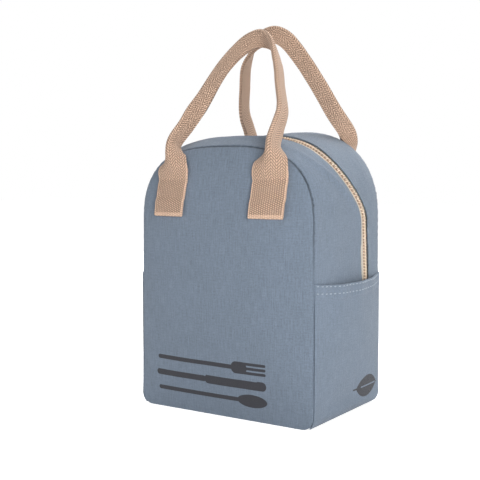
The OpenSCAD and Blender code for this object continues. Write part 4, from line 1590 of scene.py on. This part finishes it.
# ---------------------------------------------------------- slider, pull

# In the slider's own frame, in millimetres: X outwards, Y across and Z along the zipper.
PLATE = (1.2, 9, 12)
BRIDGE_WIDE = 2.6
PULL_X = 3.2
TONGUE = (1.2, 7, 18.1)
PULL_TILT = -17


def slider_frame():
    z = 150 * MM
    y = float(zip_straight(z))
    out = sizes().width / 2 + sizes().side_swell * float(across(y))
    lean = Matrix.Rotation(math.atan(ZIP_LEAN), 4, "X")
    return Matrix.Translation((-out, y, z)) @ lean @ Matrix.Rotation(math.pi, 4, "Z")


def block(name, centre, size):
    """A block of a size at a place, left in edit mode with nothing selected."""
    bpy.ops.object.select_all(action="DESELECT")
    place, scale = [c * MM for c in centre], [k * MM for k in size]
    bpy.ops.mesh.primitive_cube_add(size=1, location=place, scale=scale)
    obj = bpy.context.active_object
    obj.name = name
    bpy.ops.object.transform_apply(location=True, rotation=True, scale=True)
    bpy.ops.object.mode_set(mode="EDIT")
    bpy.ops.mesh.select_all(action="DESELECT")
    return obj


def pick(obj, kind, test):
    """Selects the vertices, edges or faces whose middle passes a test, given in millimetres."""
    bpy.ops.object.mode_set(mode="OBJECT")
    mesh = obj.data
    groups = {"VERT": mesh.vertices, "EDGE": mesh.edges, "FACE": mesh.polygons}
    middles = {
        "VERT": lambda item: item.co,
        "EDGE": lambda item: sum((mesh.vertices[k].co for k in item.vertices), Vector()) / 2,
        "FACE": lambda item: item.center,
    }
    for name, group in groups.items():
        for item in group:
            item.select = name == kind and bool(test(middles[kind](item) / MM))
    bpy.context.tool_settings.mesh_select_mode = [name == kind for name in groups]
    bpy.ops.object.mode_set(mode="EDIT")


def close_to(value, target):
    return abs(value - target) < 0.05


def bevel_edges(width, segments):
    bpy.ops.mesh.bevel(offset=width * MM, segments=segments, affect="EDGES")


def leave_edit(obj, bevel=0.0):
    """Rounds every edge, turns the faces outwards and leaves edit mode."""
    bpy.ops.mesh.select_all(action="SELECT")
    if bevel:
        bpy.ops.mesh.bevel(offset=bevel * MM, segments=2, affect="EDGES", clamp_overlap=True)
        bpy.ops.mesh.select_all(action="SELECT")
    bpy.ops.mesh.normals_make_consistent(inside=False)
    bpy.ops.object.mode_set(mode="OBJECT")
    return obj


def merge(name, *parts):
    """Joins parts into one piece and puts it in its place on the bag."""
    select_only(parts[0])
    for part in parts:
        part.select_set(True)
    bpy.ops.object.join()
    obj = bpy.context.active_object
    obj.name = name
    obj.data.transform(slider_frame())
    obj.data.update()
    smooth_shade(obj, 40)
    return finish_piece(obj, "metal", (f"zip_{name}",), name)


class BAG_OT_slider(bpy.types.Operator):
    """Build the zipper's metal slider and its hanging pull"""

    bl_idname = "bag.slider"
    bl_label = "Slider and Pull"

    def plate(self, name, low):
        """A plate with rounded corners, narrower at its lower end."""
        obj = block(name, (low + PLATE[0] / 2, 0, 0), PLATE)
        wide, tall = PLATE[1] / 2, PLATE[2] / 2
        pick(obj, "EDGE", lambda m: close_to(abs(m.y), wide) and close_to(abs(m.z), tall))
        bevel_edges(1.8, 4)
        pick(obj, "VERT", lambda m: m.z < -3)
        bpy.ops.transform.resize(value=(1, 0.82, 1))
        return leave_edit(obj, 0.22)

    def bridge(self):
        """The arch over the outer plate: a block with a hole from side to side."""
        obj = block("bridge", (3.75, 0, 0), (2.9, BRIDGE_WIDE, 6.8))
        pick(obj, "FACE", lambda m: close_to(abs(m.y), BRIDGE_WIDE / 2))
        bpy.ops.mesh.inset(thickness=1.05 * MM, depth=0)
        bpy.ops.mesh.bridge_edge_loops()
        return leave_edit(obj, 0.2)

    def tongue(self):
        """The pull's plate, with round lower corners and a sunk panel on both faces."""
        thick, wide, _ = TONGUE
        obj = block("tongue", (PULL_X, 0, -12.95), TONGUE)
        pick(obj, "EDGE", lambda m: close_to(abs(m.y), wide / 2) and m.z < -20)
        bevel_edges(2.6, 5)
        pick(obj, "FACE", lambda m: close_to(abs(m.x - PULL_X), thick / 2))
        bpy.ops.mesh.inset(thickness=1.1 * MM, depth=0)
        bpy.ops.mesh.inset(thickness=0.35 * MM, depth=-0.25 * MM)
        leave_edit(obj)
        add_rim(obj, 0.2 * MM)
        apply_modifiers(obj)
        return obj

    def pin(self):
        """The bar that the pull hangs by."""
        bpy.ops.object.select_all(action="DESELECT")
        place, turn = (PULL_X * MM, 0, 0), (math.pi / 2, 0, 0)
        bpy.ops.mesh.primitive_cylinder_add(
            vertices=20, radius=0.6 * MM, depth=7 * MM, location=place, rotation=turn
        )
        obj = bpy.context.active_object
        bpy.ops.object.transform_apply(location=True, rotation=True, scale=True)
        bpy.ops.object.mode_set(mode="EDIT")
        return leave_edit(obj, 0.12)

    def execute(self, context):
        outer, inner = self.plate("outer_plate", 1.1), self.plate("inner_plate", -3.5)
        post = leave_edit(block("post", (-0.6, 0, -4.0), (3.6, 0.7, 3.0)), 0.1)
        merge("slider", outer, inner, post, self.bridge())

        parts = [self.tongue()]
        for y in (-2.6, 2.6):
            parts.append(leave_edit(block("arm", (PULL_X, y, -2.2), (1.2, 1.8, 4.6)), 0.25))
        parts.append(self.pin())
        hinge = Matrix.Translation((PULL_X * MM, 0, 0))
        tilt = hinge @ Matrix.Rotation(math.radians(PULL_TILT), 4, "Y") @ hinge.inverted()
        for part in parts:
            part.data.transform(tilt)
        merge("pull", *parts)
        return {"FINISHED"}


# ------------------------------------------------------------------ stage

AIM = Vector((0, 0, 0.16))
# Each lamp's place, size, power and how far it points below the bag, to light it evenly.
LAMPS = {
    "key": ((1.5, -1.1, 0.42), 1.0, 35, 1.6),
    "fill": ((-1.1, -1.5, 0.40), 1.0, 8.5, 1.6),
    "rim": ((-0.1, 0.8, 1.8), 1.2, 30, 0.0),
    "back": ((-1.3, 1.3, 0.5), 1.0, 12, 0.0),
}
EYE = (0.506797, -0.802392, 0.238547)
YAW, PITCH = 33.60, 4.07
LENS = 68.49
FLOOR_SHADE = 0.82
FLOOR_GLOW = 0.82
WORLD_LIGHT = 0.25


class BAG_OT_stage(bpy.types.Operator):
    """Set up the pale floor, the soft lamps and the camera"""

    bl_idname = "bag.stage"
    bl_label = "Stage, Lamps and Camera"

    def floor(self):
        bpy.ops.object.select_all(action="DESELECT")
        bpy.ops.mesh.primitive_plane_add(size=12, location=(0, 0, 0))
        obj = bpy.context.active_object
        obj.name = "floor"
        n = new_material("pale floor")
        n.feed(n.bsdf, "Base Color", (FLOOR_SHADE, FLOOR_SHADE, FLOOR_SHADE, 1))
        n.feed(n.bsdf, "Roughness", 0.95)
        n.feed(n.bsdf, "Specular IOR Level", 0.0)
        strength = n.product(n.backdrop(), FLOOR_GLOW)
        glow = n.add("ShaderNodeEmission", Color=(1, 1, 1, 1), Strength=strength)
        both = n.add("ShaderNodeAddShader", i0=n.bsdf.outputs[0], i1=glow.outputs[0])
        n.feed(n.tree.nodes["Material Output"], "Surface", both.outputs[0])
        obj.data.materials.append(n.owner)

    def world(self):
        world = bpy.data.worlds.new("studio")
        bpy.context.scene.world = world
        n = Nodes(world)
        background = n.tree.nodes["Background"]
        n.feed(background, "Color", (1, 1, 1, 1))
        n.feed(background, "Strength", n.spread(n.backdrop(), WORLD_LIGHT, 1.0))

    def lamp(self, name, place, size, power, droop):
        light = bpy.data.lights.new(name, "AREA")
        light.shape = "DISK"
        light.size = size
        light.energy = power
        aim = AIM - Vector(place)
        aim.z = min(aim.z, 0) - droop * aim.length
        turn = aim.to_track_quat("-Z", "Y").to_matrix().to_4x4()
        new_object(name, light).matrix_world = Matrix.Translation(place) @ turn

    def camera(self):
        lens = bpy.data.cameras.new("camera")
        lens.lens = LENS
        lens.sensor_width = 36
        lens.clip_start = 0.01
        yaw, pitch = math.radians(YAW), math.radians(PITCH)
        level = math.cos(pitch)
        back = Vector((math.sin(yaw) * level, -math.cos(yaw) * level, math.sin(pitch)))
        right = Vector((math.cos(yaw), math.sin(yaw), 0))
        turn = Matrix((right, back.cross(right), back)).transposed().to_4x4()
        obj = new_object("camera", lens)
        obj.matrix_world = Matrix.Translation(EYE) @ turn
        bpy.context.scene.camera = obj

    def execute(self, context):
        self.floor()
        self.world()
        for name, settings in LAMPS.items():
            self.lamp(name, *settings)
        self.camera()
        context.scene.view_settings.view_transform = "Standard"
        return {"FINISHED"}


# ------------------------------------------------------------------ panel


class BAG_PT_sidebar(bpy.types.Panel):
    """Lists the bag's sizes, colours and building steps"""

    bl_idname = "BAG_PT_sidebar"
    bl_label = "Lunch Bag"
    bl_space_type = "VIEW_3D"
    bl_region_type = "UI"
    bl_category = "Lunch Bag"

    def draw(self, context):
        layout = self.layout
        for title, group in (
            ("Bag", context.scene.bag_sizes),
            ("Webbing and zipper", context.scene.bag_trim),
            ("Colours", context.scene.bag_colours),
        ):
            layout.label(text=title)
            column = layout.column(align=True)
            for name in group.__annotations__:
                column.prop(group, name)
        layout.label(text="Build")
        for step in STEPS:
            layout.operator(step.bl_idname)


STEPS = (
    BAG_OT_panels,
    BAG_OT_sides,
    BAG_OT_pockets,
    BAG_OT_zipper,
    BAG_OT_handles,
    BAG_OT_inside,
    BAG_OT_slider,
    BAG_OT_stage,
)
GROUPS = {"bag_sizes": BagSizes, "bag_trim": BagTrim, "bag_colours": BagColours}


def register():
    for group in (*GROUPS.values(), *STEPS, BAG_PT_sidebar):
        bpy.utils.register_class(group)
    for name, group in GROUPS.items():
        setattr(bpy.types.Scene, name, PointerProperty(type=group))


def unregister():
    for name in GROUPS:
        delattr(bpy.types.Scene, name)
    for group in (BAG_PT_sidebar, *reversed(STEPS), *GROUPS.values()):
        bpy.utils.unregister_class(group)


def main():
    register()
    bpy.ops.bag.panels()
    bpy.ops.bag.sides()
    bpy.ops.bag.pockets()
    bpy.ops.bag.zipper()
    bpy.ops.bag.handles()
    bpy.ops.bag.inside()
    bpy.ops.bag.slider()
    bpy.ops.bag.stage()


if __name__ == "__main__":
    main()
